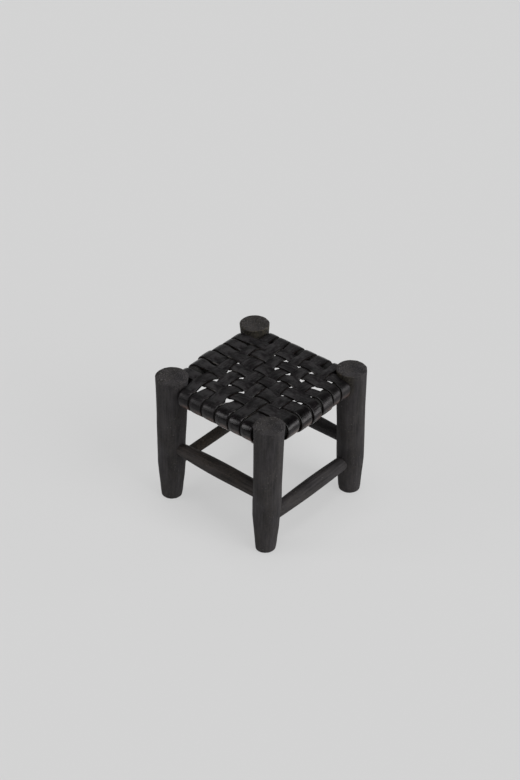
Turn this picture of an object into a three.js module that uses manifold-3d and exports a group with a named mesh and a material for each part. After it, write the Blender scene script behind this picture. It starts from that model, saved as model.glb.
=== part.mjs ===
// Moroccan kursi stool, in millimetres, +Z up. The feet stand on Z = 0 and the rails run along X and Y.
// Four whittled legs hold four seat rails and four stretchers in round blind mortises. Six leather straps
// run each way, woven over and under each other. Each strap wraps round its two rails, and a tack drives
// each of its ends into the underside of the rail.
import Module from 'manifold-3d';
import * as THREE from 'three';
import { mergeVertices } from 'three/addons/utils/BufferGeometryUtils.js';

const wasm = await Module();
wasm.setup();

// Legs
const LEG_SPACING = 232;
const LEG_HEIGHT = 271;
const LEG_RADIUS = 29;
const LEG_TOP_EDGE = 0.9;

// Seat rails. The drop is from the top of the legs to the axis of the rails along X, and the rails along Y
// lie a little higher. The back right rail is thinner and level with its partner on top. The wall is the
// wood left between the ends of the two tenons in a leg.
const RAIL_RADIUS = 16.8;
const THIN_RAIL_RADIUS = 14;
const RAIL_DROP = 29.5;
const SIDE_RAIL_LIFT = 2;
const RAIL_TENON_RADIUS = 10;
const RAIL_TENON_WALL = 3;
const RAIL_SHOULDER = 6;

// Stretchers, with the height of their axes and the depth that their ends reach into a leg
const FRONT_STRETCHER_HEIGHT = 115.3;
const FRONT_STRETCHER_RADIUS = 15.8;
const BACK_STRETCHER_HEIGHT = 114.6;
const BACK_STRETCHER_RADIUS = 14;
const RIGHT_STRETCHER_HEIGHT = 67.6;
const RIGHT_STRETCHER_RADIUS = 15;
const LEFT_STRETCHER_HEIGHT = 76;
const LEFT_STRETCHER_RADIUS = 10.8;
const STRETCHER_DEPTH = 14;

// Straps. The gap is what stays open between straps of plain width and even spacing. Crowded straps leave at
// least the slot in the seat and the seam on the rails. A strap holds its level for a short way past the
// edges of the strap that it crosses. The wrap runs from the top of a rail to the cut end.
const STRAP_GAP = 5.4;
const STRAP_SLOT = 3;
const STRAP_SEAM = 0.8;
const STRAP_THICKNESS = 2.2;
const STRAP_CROWN = 0.5;
const STRAP_HOLD = 0.55;
const WRAP_ANGLE = THREE.MathUtils.degToRad(215);
const WRAP_STEPS = 12;

// Tacks
const TACK_HEAD_RADIUS = 3.2;
const TACK_HEAD_HEIGHT = 1.3;
const TACK_SHANK_RADIUS = 0.9;
const TACK_DEPTH = 9;
const TACK_SIDES = 8;

// Shares of a stretcher's length at which its swelling outline is drawn
const STRETCHER_OUTLINE_SHARES = [0, 0.12, 0.25, 0.38, 0.5, 0.62, 0.75, 0.88, 1];

// Clearance between pieces that touch, and the number of sides of the round pieces
const CLEARANCE = 0.3;
const LEG_SIDES = 28;
const BAR_SIDES = 20;

// How often the place where two crooked edges cross is worked out anew
const CROSSING_ROUNDS = 4;

// Height along a leg and radius there, from the whittled foot to the top
const LEG_OUTLINE_SHARES = [
  [0, 0.58],
  [0.007, 0.65],
  [0.04, 0.7],
  [0.1, 0.742],
  [0.18, 0.824],
  [0.28, 0.892],
  [0.45, 0.911],
  [0.7, 0.926],
  [0.93, 0.969],
  [1, 1],
];

// Share of the height up to which the foot of a leg can be thicker or thinner than the outline says
const FOOT_SHARE = 0.28;

// Each leg is hand cut: its side along X and Y, its height and thickness, how thick its foot is beside the
// outline, how far its top stands off the square as shares of the spacing, how far its foot stands out
// beyond its top, and how oval it is.
const LEGS = {
  left: {
    side: [-1, -1],
    heightShare: 0.998,
    radiusShare: 1.007,
    footShare: 1.02,
    placeShares: [-0.0062, 0.0078],
    splayShares: [-0.0275, -0.0015],
    ovalShare: 0.012,
  },
  front: {
    side: [1, -1],
    heightShare: 0.999,
    radiusShare: 0.983,
    footShare: 1.01,
    placeShares: [0, -0.0084],
    splayShares: [-0.008, -0.0261],
    ovalShare: -0.01,
  },
  right: {
    side: [1, 1],
    heightShare: 1.002,
    radiusShare: 0.993,
    footShare: 1.07,
    placeShares: [0.0033, -0.0034],
    splayShares: [0.009, 0.006],
    ovalShare: 0.008,
  },
  back: {
    side: [-1, 1],
    heightShare: 1.002,
    radiusShare: 0.945,
    footShare: 1,
    placeShares: [0.0025, -0.0012],
    splayShares: [0.034, 0.022],
    ovalShare: -0.008,
  },
};

// Where each strap lies across the seat, as shares of the half width between the legs, and how wide it is
// beside the plain width. Both follow the strap from its low rail to its high rail at the shares of the
// half spacing in STATION_SHARES.
const STATION_SHARES = [-1, -0.8, -0.4, 0, 0.4, 0.8, 1];
const COLUMN_SHARES = [
  {
    placeShares: [-0.825, -0.868, -0.839, -0.843, -0.842, -0.837, -0.832],
    widthShares: [0.99, 1.06, 1.13, 0.94, 0.94, 0.97, 1.05],
  },
  {
    placeShares: [-0.496, -0.500, -0.486, -0.478, -0.483, -0.494, -0.505],
    widthShares: [1.17, 1.03, 1.06, 1.13, 1.10, 1.03, 0.98],
  },
  {
    placeShares: [-0.121, -0.202, -0.137, -0.106, -0.140, -0.160, -0.183],
    widthShares: [1.48, 1.08, 1.12, 0.98, 0.94, 0.94, 1.08],
  },
  {
    placeShares: [0.182, 0.239, 0.245, 0.221, 0.196, 0.161, 0.149],
    widthShares: [1.47, 1.07, 0.85, 0.86, 0.96, 0.89, 1.04],
  },
  {
    placeShares: [0.551, 0.544, 0.541, 0.535, 0.529, 0.517, 0.520],
    widthShares: [1.08, 1.11, 1.07, 1.02, 1.00, 0.90, 1.14],
  },
  {
    placeShares: [0.855, 0.870, 0.883, 0.899, 0.898, 0.903, 0.898],
    widthShares: [1.03, 1.11, 1.04, 0.97, 1.04, 0.91, 0.97],
  },
];
const ROW_SHARES = [
  {
    placeShares: [0.859, 0.897, 0.928, 0.963, 0.971, 0.946, 0.924],
    widthShares: [0.94, 0.93, 0.94, 0.91, 0.91, 1.01, 0.94],
  },
  {
    placeShares: [0.584, 0.587, 0.602, 0.618, 0.623, 0.630, 0.639],
    widthShares: [0.93, 0.94, 0.94, 0.95, 0.95, 0.95, 0.85],
  },
  {
    placeShares: [0.267, 0.252, 0.245, 0.250, 0.263, 0.249, 0.307],
    widthShares: [1.10, 1.04, 1.06, 1.04, 1.02, 0.94, 1.17],
  },
  {
    placeShares: [-0.089, -0.078, -0.068, -0.082, -0.087, -0.051, -0.010],
    widthShares: [1.18, 1.17, 1.10, 1.11, 1.21, 1.19, 1.02],
  },
  {
    placeShares: [-0.445, -0.473, -0.499, -0.469, -0.429, -0.418, -0.337],
    widthShares: [1.31, 1.14, 1.12, 1.10, 1.20, 1.18, 1.03],
  },
  {
    placeShares: [-0.874, -0.867, -0.896, -0.879, -0.845, -0.821, -0.799],
    widthShares: [0.89, 1.10, 1.16, 1.14, 1.21, 1.29, 1.36],
  },
];

// Sizes worked out from the ones above
const HALF_SPACING = LEG_SPACING / 2;
const SEAT_HALF = HALF_SPACING - LEG_RADIUS;
const STRAP_PITCH = 2 * SEAT_HALF / COLUMN_SHARES.length;
const STRAP_WIDTH = STRAP_PITCH - STRAP_GAP;
const WRAP_STEP = WRAP_ANGLE / WRAP_STEPS;
const LEVEL_STEP = (STRAP_THICKNESS + CLEARANCE) / 2;
const RAIL_HEIGHT = LEG_HEIGHT - RAIL_DROP;
const SIDE_RAIL_HEIGHT = RAIL_HEIGHT + SIDE_RAIL_LIFT;
const THIN_RAIL_HEIGHT = RAIL_HEIGHT + RAIL_RADIUS - THIN_RAIL_RADIUS;
const WEAVE_HEIGHT = RAIL_HEIGHT + SIDE_RAIL_LIFT / 2 + RAIL_RADIUS + CLEARANCE + STRAP_THICKNESS / 2;

const BLACK_WOOD = { color: 0x2e2c2b, roughness: 0.86, metalness: 0 };
const BLACK_LEATHER = { color: 0x1d1b1c, roughness: 0.42, metalness: 0 };
const DARK_STEEL = { color: 0x3a3734, roughness: 0.45, metalness: 1 };

const UP = new THREE.Vector3(0, 0, 1);

function toSolid(geometry) {
  const bare = new THREE.BufferGeometry();
  bare.setAttribute('position', geometry.getAttribute('position'));
  bare.setIndex(geometry.getIndex());
  const merged = mergeVertices(bare);
  const corners = merged.getIndex().array;
  const kept = [];
  for (let i = 0; i < corners.length; i += 3) {
    const [a, b, c] = corners.slice(i, i + 3);
    if (a !== b && b !== c && c !== a) kept.push(a, b, c);
  }
  return new wasm.Manifold(new wasm.Mesh({
    numProp: 3,
    vertProperties: merged.getAttribute('position').array,
    triVerts: new Uint32Array(kept),
  }));
}

function toGeometry(solid) {
  const { vertProperties, triVerts } = solid.getMesh();
  const geometry = new THREE.BufferGeometry();
  geometry.setAttribute('position', new THREE.BufferAttribute(vertProperties, 3));
  geometry.setIndex(new THREE.BufferAttribute(triVerts, 1));
  geometry.computeVertexNormals();
  return geometry;
}

function namedMesh(name, geometry, finish) {
  const mesh = new THREE.Mesh(geometry, new THREE.MeshStandardMaterial(finish));
  mesh.name = name;
  return mesh;
}

// Takes the cutters, which stand in the stool's frame, out of a mesh
function cutMesh(mesh, cutters) {
  mesh.updateMatrix();
  const intoMesh = mesh.matrix.clone().invert();
  let solid = toSolid(mesh.geometry);
  for (const cutter of cutters) {
    solid = solid.subtract(toSolid(cutter.clone().applyMatrix4(intoMesh)));
  }
  mesh.geometry = toGeometry(solid);
}

// A turned piece with its axis on +Z, from a profile of [radius, height] pairs that starts and ends there
function turned(profile, sides) {
  const points = profile.map(([radius, height]) => new THREE.Vector2(radius, height));
  return new THREE.LatheGeometry(points, sides).rotateX(Math.PI / 2);
}

// Legs

function legTop(leg) {
  return leg.side.map((side, i) => side * HALF_SPACING + leg.placeShares[i] * LEG_SPACING);
}

function legMesh(name, leg) {
  const height = LEG_HEIGHT * leg.heightShare;
  const radius = LEG_RADIUS * leg.radiusShare;
  const outline = LEG_OUTLINE_SHARES.map(([up, out]) => {
    const foot = THREE.MathUtils.lerp(leg.footShare, 1, Math.min(up / FOOT_SHARE, 1));
    return [radius * out * foot, up * (height - LEG_TOP_EDGE)];
  });
  const profile = [[0, 0], ...outline, [radius - LEG_TOP_EDGE, height], [0, height]];
  const geometry = turned(profile, LEG_SIDES);
  geometry.scale(1 + leg.ovalShare, 1 - leg.ovalShare, 1);
  const [splayX, splayY] = leg.splayShares.map((share) => share * LEG_SPACING);
  geometry.applyMatrix4(new THREE.Matrix4().makeShear(0, 0, 0, 0, -splayX / height, -splayY / height));
  const mesh = namedMesh(name, geometry, BLACK_WOOD);
  const [topX, topY] = legTop(leg);
  mesh.position.set(topX + splayX, topY + splayY, 0);
  return mesh;
}

// Bars between two legs, drawn on +Z from the low end and then laid along X or Y. A profile that is
// grown by the clearance gives the hollow that the bar leaves in the legs.

function railProfile(bar, grow) {
  const end = HALF_SPACING - RAIL_TENON_RADIUS - RAIL_TENON_WALL + grow;
  const shoulderEnd = SEAT_HALF + RAIL_SHOULDER / 2;
  const shoulderStart = shoulderEnd - RAIL_SHOULDER;
  const half = [
    [0, end],
    [RAIL_TENON_RADIUS + grow, end],
    [RAIL_TENON_RADIUS + grow, shoulderEnd],
    [bar.radius + grow, shoulderStart],
  ];
  const lowHalf = half.map(([radius, height]) => [radius, -height]);
  return [...lowHalf, ...half.reverse()];
}

function stretcherProfile(bar, grow) {
  const end = SEAT_HALF + STRETCHER_DEPTH + grow;
  const profile = [[0, -end]];
  for (const along of STRETCHER_OUTLINE_SHARES) {
    const plain = THREE.MathUtils.lerp(bar.endShares[0], bar.endShares[1], along);
    const swell = (1 - plain) * Math.sin(Math.PI * along);
    const radius = bar.radius * (plain + swell) + grow;
    profile.push([radius, THREE.MathUtils.lerp(-end, end, along)]);
  }
  profile.push([0, end]);
  return profile;
}

function layBar(object, bar) {
  const alongX = bar.axis === 'x';
  const across = bar.side * HALF_SPACING;
  object.position.set(alongX ? 0 : across, alongX ? across : 0, bar.height);
  const run = alongX ? new THREE.Vector3(LEG_SPACING, 0, 0) : new THREE.Vector3(0, LEG_SPACING, 0);
  run.z = bar.tiltShare * LEG_SPACING;
  object.quaternion.setFromUnitVectors(UP, run.normalize());
  object.updateMatrix();
}

function barPieces(bar) {
  const mesh = namedMesh(bar.name, turned(bar.profile(0), BAR_SIDES), BLACK_WOOD);
  layBar(mesh, bar);
  const hollow = turned(bar.profile(CLEARANCE), BAR_SIDES).applyMatrix4(mesh.matrix);
  return { mesh, hollow };
}

const RAILS = [
  { name: 'left_front_rail', axis: 'x', side: -1, height: RAIL_HEIGHT, radius: RAIL_RADIUS },
  { name: 'back_right_rail', axis: 'x', side: 1, height: THIN_RAIL_HEIGHT, radius: THIN_RAIL_RADIUS },
  { name: 'left_back_rail', axis: 'y', side: -1, height: SIDE_RAIL_HEIGHT, radius: RAIL_RADIUS },
  { name: 'front_right_rail', axis: 'y', side: 1, height: SIDE_RAIL_HEIGHT, radius: RAIL_RADIUS },
].map((bar) => ({ ...bar, tiltShare: 0, profile: (grow) => railProfile(bar, grow) }));

const STRETCHERS = [
  {
    name: 'left_front_stretcher',
    axis: 'x',
    side: -1,
    height: FRONT_STRETCHER_HEIGHT,
    radius: FRONT_STRETCHER_RADIUS,
    endShares: [0.7, 0.93],
    tiltShare: -0.018,
  },
  {
    name: 'back_right_stretcher',
    axis: 'x',
    side: 1,
    height: BACK_STRETCHER_HEIGHT,
    radius: BACK_STRETCHER_RADIUS,
    endShares: [0.86, 0.86],
    tiltShare: -0.03,
  },
  {
    name: 'left_back_stretcher',
    axis: 'y',
    side: -1,
    height: LEFT_STRETCHER_HEIGHT,
    radius: LEFT_STRETCHER_RADIUS,
    endShares: [0.9, 0.9],
    tiltShare: 0,
  },
  {
    name: 'front_right_stretcher',
    axis: 'y',
    side: 1,
    height: RIGHT_STRETCHER_HEIGHT,
    radius: RIGHT_STRETCHER_RADIUS,
    endShares: [0.86, 0.88],
    tiltShare: 0,
  },
].map((bar) => ({ ...bar, profile: (grow) => stretcherProfile(bar, grow) }));

// Straps. A column runs along Y and a row along X, and each is numbered from 0. "Along" is the place on
// the strap's run and "across" is its place over the seat.

// A share of a strap at a place along it, which swings smoothly from station to station
function shareAt(shares, along) {
  const stations = STATION_SHARES.map((share) => share * HALF_SPACING);
  const clamped = THREE.MathUtils.clamp(along, -HALF_SPACING, HALF_SPACING);
  const last = Math.max(1, stations.findIndex((station) => clamped <= station));
  const blend = THREE.MathUtils.smoothstep(clamped, stations[last - 1], stations[last]);
  return THREE.MathUtils.lerp(shares[last - 1], shares[last], blend);
}

// Where one edge of a strap would lie if nothing crowded it, side -1, 0 for the middle line, or +1
function freeLine(strap, side, along) {
  const width = STRAP_WIDTH * shareAt(strap.widthShares, along);
  return SEAT_HALF * shareAt(strap.placeShares, along) + side * width / 2;
}

// The place across the seat where the leg at one end and side of a strap family begins
function legFace(family, side, along) {
  const corner = family.point(along < 0 ? -1 : 1, side, 0);
  const leg = Object.values(LEGS).find(({ side: [x, y] }) => x === corner.x && y === corner.y);
  const [topX, topY] = legTop(leg);
  const middle = family.point(topX, topY, 0);
  const reach = LEG_RADIUS * leg.radiusShare * (1 + Math.abs(leg.ovalShare)) + CLEARANCE;
  const offset = Math.min(Math.abs(along - middle.x), reach);
  return middle.y - side * Math.sqrt(reach ** 2 - offset ** 2);
}

// The place across the seat of one edge of a strap, side -1 or +1. Straps that crowd each other are cut
// back from the middle between their free edges, and the outermost ones keep clear of the legs.
function edgeAt(family, number, side, along) {
  const edge = freeLine(family.straps[number], side, along);
  const neighbour = family.straps[number + side * family.order];
  const onRail = THREE.MathUtils.smoothstep(Math.abs(along), SEAT_HALF, HALF_SPACING);
  const opening = THREE.MathUtils.lerp(STRAP_SLOT, STRAP_SEAM, onRail);
  const limit = neighbour
    ? (edge + freeLine(neighbour, -side, along)) / 2 - side * opening / 2
    : legFace(family, side, along);
  return side < 0 ? Math.max(edge, limit) : Math.min(edge, limit);
}

const COLUMNS = {
  name: 'column_strap',
  straps: COLUMN_SHARES,
  order: 1,
  rails: [RAILS[0], RAILS[1]],
  isOver: (column, row) => (row + column) % 2 === 1,
  point: (along, across, height) => new THREE.Vector3(across, along, height),
};
const ROWS = {
  name: 'row_strap',
  straps: ROW_SHARES,
  order: -1,
  rails: [RAILS[2], RAILS[3]],
  isOver: (row, column) => (row + column) % 2 === 0,
  point: (along, across, height) => new THREE.Vector3(along, across, height),
};

// The rail at one end of a strap family, end -1 or +1
function railAt(family, end) {
  return family.rails[end < 0 ? 0 : 1];
}

// Where an edge of one strap crosses an edge of a strap of the other family
function crossing(own, number, side, other, otherNumber, otherSide) {
  let along = 0;
  for (let i = 0; i < CROSSING_ROUNDS; i += 1) {
    const across = edgeAt(own, number, side, along);
    along = edgeAt(other, otherNumber, otherSide, across);
  }
  return along;
}

// The middle line of one edge of a strap, as [along, height] pairs: round the low rail, over and under the
// straps of the other family, and round the high rail
function middleLine(own, number, side, other) {
  const line = [];
  const numbers = other.straps.map((_, i) => i);
  if (other.order < 0) numbers.reverse();
  for (const otherNumber of numbers) {
    const level = own.isOver(number, otherNumber) ? 1 : -1;
    const from = crossing(own, number, side, other, otherNumber, -1) - STRAP_HOLD;
    const to = crossing(own, number, side, other, otherNumber, 1) + STRAP_HOLD;
    const height = WEAVE_HEIGHT + level * LEVEL_STEP;
    line.push([from, height], [(from + to) / 2, height + level * STRAP_CROWN], [to, height]);
  }
  return [...wrapLine(own, -1, line[0]), ...line, ...wrapLine(own, 1, line.at(-1)).reverse()];
}

// The middle line round a rail, from the cut end under it to where the strap leaves it for the first point
// of the weave. Its corners stand out so that the flats between them keep the clearance to the round rail.
function wrapLine(own, end, weavePoint) {
  const rail = railAt(own, end);
  const radius = (rail.radius + CLEARANCE) / Math.cos(WRAP_STEP / 2) + STRAP_THICKNESS / 2;
  const inward = HALF_SPACING - end * weavePoint[0];
  const upward = weavePoint[1] - rail.height;
  const leave = Math.acos(radius / Math.hypot(inward, upward)) - Math.atan2(inward, upward);
  const angles = [leave];
  for (let i = 1; i <= WRAP_STEPS; i += 1) {
    angles.unshift(i * WRAP_STEP);
  }
  return angles.map((angle) => [
    end * (HALF_SPACING + radius * Math.sin(angle)),
    rail.height + radius * Math.cos(angle),
  ]);
}

// Moves a line sideways in its plane by the given offset, with mitred corners
function offsetLine(line, offset) {
  return line.map((point, i) => {
    const here = new THREE.Vector2(...point);
    const before = i > 0 ? here.clone().sub(new THREE.Vector2(...line[i - 1])).normalize() : null;
    const after = i < line.length - 1 ? new THREE.Vector2(...line[i + 1]).sub(here).normalize() : null;
    const tangent = (before ?? after).clone().add(after ?? before).normalize();
    const normal = new THREE.Vector2(-tangent.y, tangent.x);
    const stretch = tangent.dot(after ?? before);
    return here.addScaledVector(normal, offset / stretch);
  });
}

// A closed body from rings that all have the same number of corners
function sweptBody(rings) {
  const corners = rings[0].length;
  const positions = rings.flat().flatMap((point) => point.toArray());
  const faces = [];
  for (let ring = 0; ring < rings.length - 1; ring += 1) {
    for (let i = 0; i < corners; i += 1) {
      const a = ring * corners + i;
      const b = ring * corners + (i + 1) % corners;
      faces.push(a, b, a + corners, b, b + corners, a + corners);
    }
  }
  const last = (rings.length - 1) * corners;
  for (let i = 1; i < corners - 1; i += 1) {
    faces.push(0, i + 1, i);
    faces.push(last, last + i, last + i + 1);
  }
  const geometry = new THREE.BufferGeometry();
  geometry.setAttribute('position', new THREE.Float32BufferAttribute(positions, 3));
  geometry.setIndex(faces);
  return geometry;
}

function strapMesh(own, number, other) {
  const edges = [-1, 1].map((side) => {
    const line = middleLine(own, number, side, other);
    const across = line.map(([along]) => edgeAt(own, number, side, along));
    const place = (points) => points.map((point, i) => own.point(point.x, across[i], point.y));
    return {
      upper: place(offsetLine(line, STRAP_THICKNESS / 2)),
      lower: place(offsetLine(line, -STRAP_THICKNESS / 2)),
    };
  });
  const rings = edges[0].upper.map((_, i) => {
    const ring = [edges[0].upper[i], edges[1].upper[i], edges[1].lower[i], edges[0].lower[i]];
    return own.order > 0 ? ring : ring.reverse();
  });
  return namedMesh(`${own.name}_${number + 1}`, sweptBody(rings), BLACK_LEATHER);
}

// Tacks

function tackProfile(rail) {
  const seat = rail.radius + STRAP_THICKNESS + 2 * CLEARANCE;
  const tip = rail.radius - TACK_DEPTH;
  return [
    [0, tip],
    [TACK_SHANK_RADIUS, tip + TACK_SHANK_RADIUS],
    [TACK_SHANK_RADIUS, seat],
    [TACK_HEAD_RADIUS, seat],
    [TACK_HEAD_RADIUS / 2, seat + TACK_HEAD_HEIGHT],
    [0, seat + TACK_HEAD_HEIGHT],
  ];
}

function tackHollow(rail) {
  const far = rail.radius + CLEARANCE + STRAP_THICKNESS + TACK_HEAD_HEIGHT;
  const near = rail.radius - TACK_DEPTH - CLEARANCE;
  const radius = TACK_SHANK_RADIUS + CLEARANCE;
  return turned([[0, near], [radius, near], [radius, far], [0, far]], TACK_SIDES);
}

function tackPieces(own, number, end) {
  const rail = railAt(own, end);
  const name = `${own.name.replace('strap', 'tack')}_${number + 1}_${end < 0 ? 'low' : 'high'}`;
  const mesh = namedMesh(name, turned(tackProfile(rail), TACK_SIDES), DARK_STEEL);
  const angle = WRAP_ANGLE - WRAP_STEP - WRAP_STEP / 2;
  const along = end * HALF_SPACING;
  mesh.position.copy(own.point(along, freeLine(own.straps[number], 0, along), rail.height));
  mesh.quaternion.setFromUnitVectors(UP, own.point(end * Math.sin(angle), 0, Math.cos(angle)));
  mesh.updateMatrix();
  return { mesh, hollow: tackHollow(rail).applyMatrix4(mesh.matrix) };
}

// Assembly

const stool = new THREE.Group();
stool.name = 'moroccan_kursi_stool';

const rails = RAILS.map(barPieces);
const stretchers = STRETCHERS.map(barPieces);
const hollows = [...rails, ...stretchers].map((bar) => bar.hollow);
for (const [name, leg] of Object.entries(LEGS)) {
  const mesh = legMesh(`${name}_leg`, leg);
  cutMesh(mesh, hollows);
  stool.add(mesh);
}

const tackHollows = [];
for (const [own, other] of [[COLUMNS, ROWS], [ROWS, COLUMNS]]) {
  for (let number = 0; number < own.straps.length; number += 1) {
    const tacks = [-1, 1].map((end) => tackPieces(own, number, end));
    const hollowsHere = tacks.map((tack) => tack.hollow);
    const strap = strapMesh(own, number, other);
    cutMesh(strap, hollowsHere);
    tackHollows.push(...hollowsHere);
    stool.add(strap, ...tacks.map((tack) => tack.mesh));
  }
}

for (const { mesh } of rails) {
  cutMesh(mesh, tackHollows);
}
stool.add(...[...rails, ...stretchers].map((bar) => bar.mesh));

// The origin is the middle of the stool's outline on the floor
const middle = new THREE.Box3().setFromObject(stool).getCenter(new THREE.Vector3());
stool.position.set(-middle.x, -middle.y, 0);

export default stool;
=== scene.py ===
# %% [markdown]
# # A low stool with a seat of woven leather
#
# The real stool is small enough to carry in one hand. Four legs, four hidden seat rails and four stretchers
# are round sticks shaped with a drawknife and stained black. The seat is twelve flat leather straps woven
# over and under each other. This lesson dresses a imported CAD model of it: the CAD fixes every size and
# place, and Blender adds the hand work, the leather and the light.
#
# Each step first says what the real thing is and how it could be made, and then makes it in a short cell.

# %% Load the CAD frame
import math

import bpy
import numpy as np
from mathutils import Matrix, Vector


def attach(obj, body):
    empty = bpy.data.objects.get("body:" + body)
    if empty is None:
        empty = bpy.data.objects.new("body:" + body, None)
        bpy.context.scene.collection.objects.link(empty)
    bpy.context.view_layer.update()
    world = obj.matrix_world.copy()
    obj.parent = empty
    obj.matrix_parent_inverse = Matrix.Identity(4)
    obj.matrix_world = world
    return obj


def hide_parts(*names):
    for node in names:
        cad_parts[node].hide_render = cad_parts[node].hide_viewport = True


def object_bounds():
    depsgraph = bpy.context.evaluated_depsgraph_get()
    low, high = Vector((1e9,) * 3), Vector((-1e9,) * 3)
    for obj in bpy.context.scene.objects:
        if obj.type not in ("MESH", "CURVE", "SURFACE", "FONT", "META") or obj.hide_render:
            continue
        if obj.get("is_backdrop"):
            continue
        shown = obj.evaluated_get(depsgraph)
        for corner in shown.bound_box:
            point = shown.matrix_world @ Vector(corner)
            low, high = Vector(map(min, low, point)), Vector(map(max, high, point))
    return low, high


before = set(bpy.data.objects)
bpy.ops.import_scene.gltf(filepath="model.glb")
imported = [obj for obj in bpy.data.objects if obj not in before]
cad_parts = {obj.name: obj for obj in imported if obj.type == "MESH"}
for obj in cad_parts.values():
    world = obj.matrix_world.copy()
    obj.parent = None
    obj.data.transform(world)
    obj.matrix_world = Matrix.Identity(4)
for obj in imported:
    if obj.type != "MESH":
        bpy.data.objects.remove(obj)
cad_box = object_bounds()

MM = 0.001
print("CAD nodes:", len(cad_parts))
print("CAD box in mm:", [[round(v / MM, 1) for v in corner] for corner in cad_box])

# %% [markdown]
# ## Small helpers for node trees
#
# Materials and Geometry Nodes are both trees of nodes. Writing each node by hand takes three steps: make it,
# fill its inputs and link it. A small class does the three in one call and hands back the output socket,
# so that a tree reads like a formula from top to bottom. The sums that are needed most have short names.


# %% Node helper
NODES_IN_COLUMN = 6
COLUMN_STEP, ROW_STEP = 180, -220


class Tree:
    """Adds nodes to a node tree. An input may be a plain value or the output socket of another node."""

    def __init__(self, tree):
        self.tree = tree
        self.count = 0

    def fill(self, node, inputs):
        for name, value in inputs.items():
            if isinstance(value, bpy.types.NodeSocket):
                self.tree.links.new(value, node.inputs[name])
            else:
                node.inputs[name].default_value = value

    def add(self, kind, inputs=None, output=0, **settings):
        node = self.tree.nodes.new(kind)
        column, row = divmod(self.count, NODES_IN_COLUMN)
        node.location = (COLUMN_STEP * column, ROW_STEP * row)
        self.count += 1
        for name, value in settings.items():
            setattr(node, name, value)
        self.fill(node, inputs or {})
        return node.outputs[output] if len(node.outputs) else node

    def math(self, operation, *values):
        return self.add("ShaderNodeMath", dict(enumerate(values)), operation=operation)

    def plus(self, first, second):
        return self.math("ADD", first, second)

    def minus(self, first, second):
        return self.math("SUBTRACT", first, second)

    def times(self, first, second):
        return self.math("MULTIPLY", first, second)

    def times_plus(self, first, second, third):
        return self.math("MULTIPLY_ADD", first, second, third)

    def larger(self, first, second):
        return self.math("MAXIMUM", first, second)

    def vector(self, operation, *values, output=0):
        return self.add("ShaderNodeVectorMath", dict(enumerate(values)), output, operation=operation)

    def scaled(self, vector, factor):
        return self.add("ShaderNodeVectorMath", {0: vector, "Scale": factor}, operation="SCALE")

    def ramp(self, value, low, high, out_low=0.0, out_high=1.0):
        """A smooth step from out_low to out_high while the value goes from low to high."""
        spans = {0: value, 1: low, 2: high, 3: out_low, 4: out_high}
        return self.add("ShaderNodeMapRange", spans, interpolation_type="SMOOTHSTEP")

    def noise(self, vector, scale, detail=2.0, roughness=0.5):
        settings = {"Vector": vector, "Scale": scale, "Detail": detail, "Roughness": roughness}
        return self.add("ShaderNodeTexNoise", settings)

    def mix(self, factor, first, second):
        """A colour between two others."""
        return self.add("ShaderNodeMix", {0: factor, 6: first, 7: second}, data_type="RGBA", output=2)

    def read(self, name, output="Fac"):
        """What the points of the mesh carry under this name, for a material."""
        return self.add("ShaderNodeAttribute", output=output, attribute_name=name)


def new_group(name, kind, inputs, output):
    """A node group with named inputs and one output, a Tree to build it with, and its inputs' sockets."""
    group = bpy.data.node_groups.new(name, kind)
    for direction, sockets in (("INPUT", inputs), ("OUTPUT", [(*output, None)])):
        for label, sort, default in sockets:
            socket = group.interface.new_socket(label, in_out=direction, socket_type=f"NodeSocket{sort}")
            if default is not None:
                socket.default_value = default
    t = Tree(group)
    return group, t, t.add("NodeGroupInput").node.outputs


def add_object(name, data):
    made = bpy.data.objects.new(name, data)
    bpy.context.collection.objects.link(made)
    return made

# %% [markdown]
# ## The camera
#
# The photograph was taken from above with a long lens. The camera looks at the stool from its front corner,
# forty degrees round and thirty-five degrees up, and turned by a quarter of a degree. A position, a target
# and the roll give the three axes of the camera, which are the columns of its matrix.

# %% Camera
CAMERA_TARGET = Vector((-0.09, 0.10567, 0.1358))
CAMERA_DISTANCE = 4.189
CAMERA_AZIMUTH = math.radians(39.94)
CAMERA_ELEVATION = math.radians(34.91)
CAMERA_ROLL = math.radians(0.27)
CAMERA_LENS = 101.54


def look(azimuth, elevation, roll):
    """The right, up and back axes of a camera that looks from this side at this height."""
    right = Vector((math.cos(azimuth), math.sin(azimuth), 0))
    back = Vector((math.sin(azimuth), -math.cos(azimuth), math.tan(elevation))).normalized()
    up = back.cross(right)
    turned_right = right * math.cos(roll) + up * math.sin(roll)
    return turned_right, back.cross(turned_right), back


camera = add_object("camera", bpy.data.cameras.new("camera"))
camera.data.lens = CAMERA_LENS
camera.data.clip_end = 50
right, up, back = look(CAMERA_AZIMUTH, CAMERA_ELEVATION, CAMERA_ROLL)
place = Matrix((right, up, back)).transposed().to_4x4()
place.translation = CAMERA_TARGET + back * CAMERA_DISTANCE
camera.matrix_world = place
bpy.context.scene.camera = camera
print("camera at", [round(v, 3) for v in camera.location])

# %% [markdown]
# ## The light
#
# Black leather shows mostly what it reflects, so the light is what draws the seat. The wraps over the two
# front rails carry one bright band each, one from the left and one from the right, and the flat of the seat
# stays dark. That is a studio with one soft box on the left and two on the right, a small one straight
# overhead, a weak fill from the front and a weak box behind the stool. The flat straps mirror that last
# one into the camera, so it sets how much they shine.
#
# Lamps near the stool would shade the floor unevenly. Soft boxes painted into the world lie infinitely far
# away and light the floor evenly. Each is a patch of the sky, so one node group makes a patch from a
# direction and a size, and the world adds the patches up.


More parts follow.
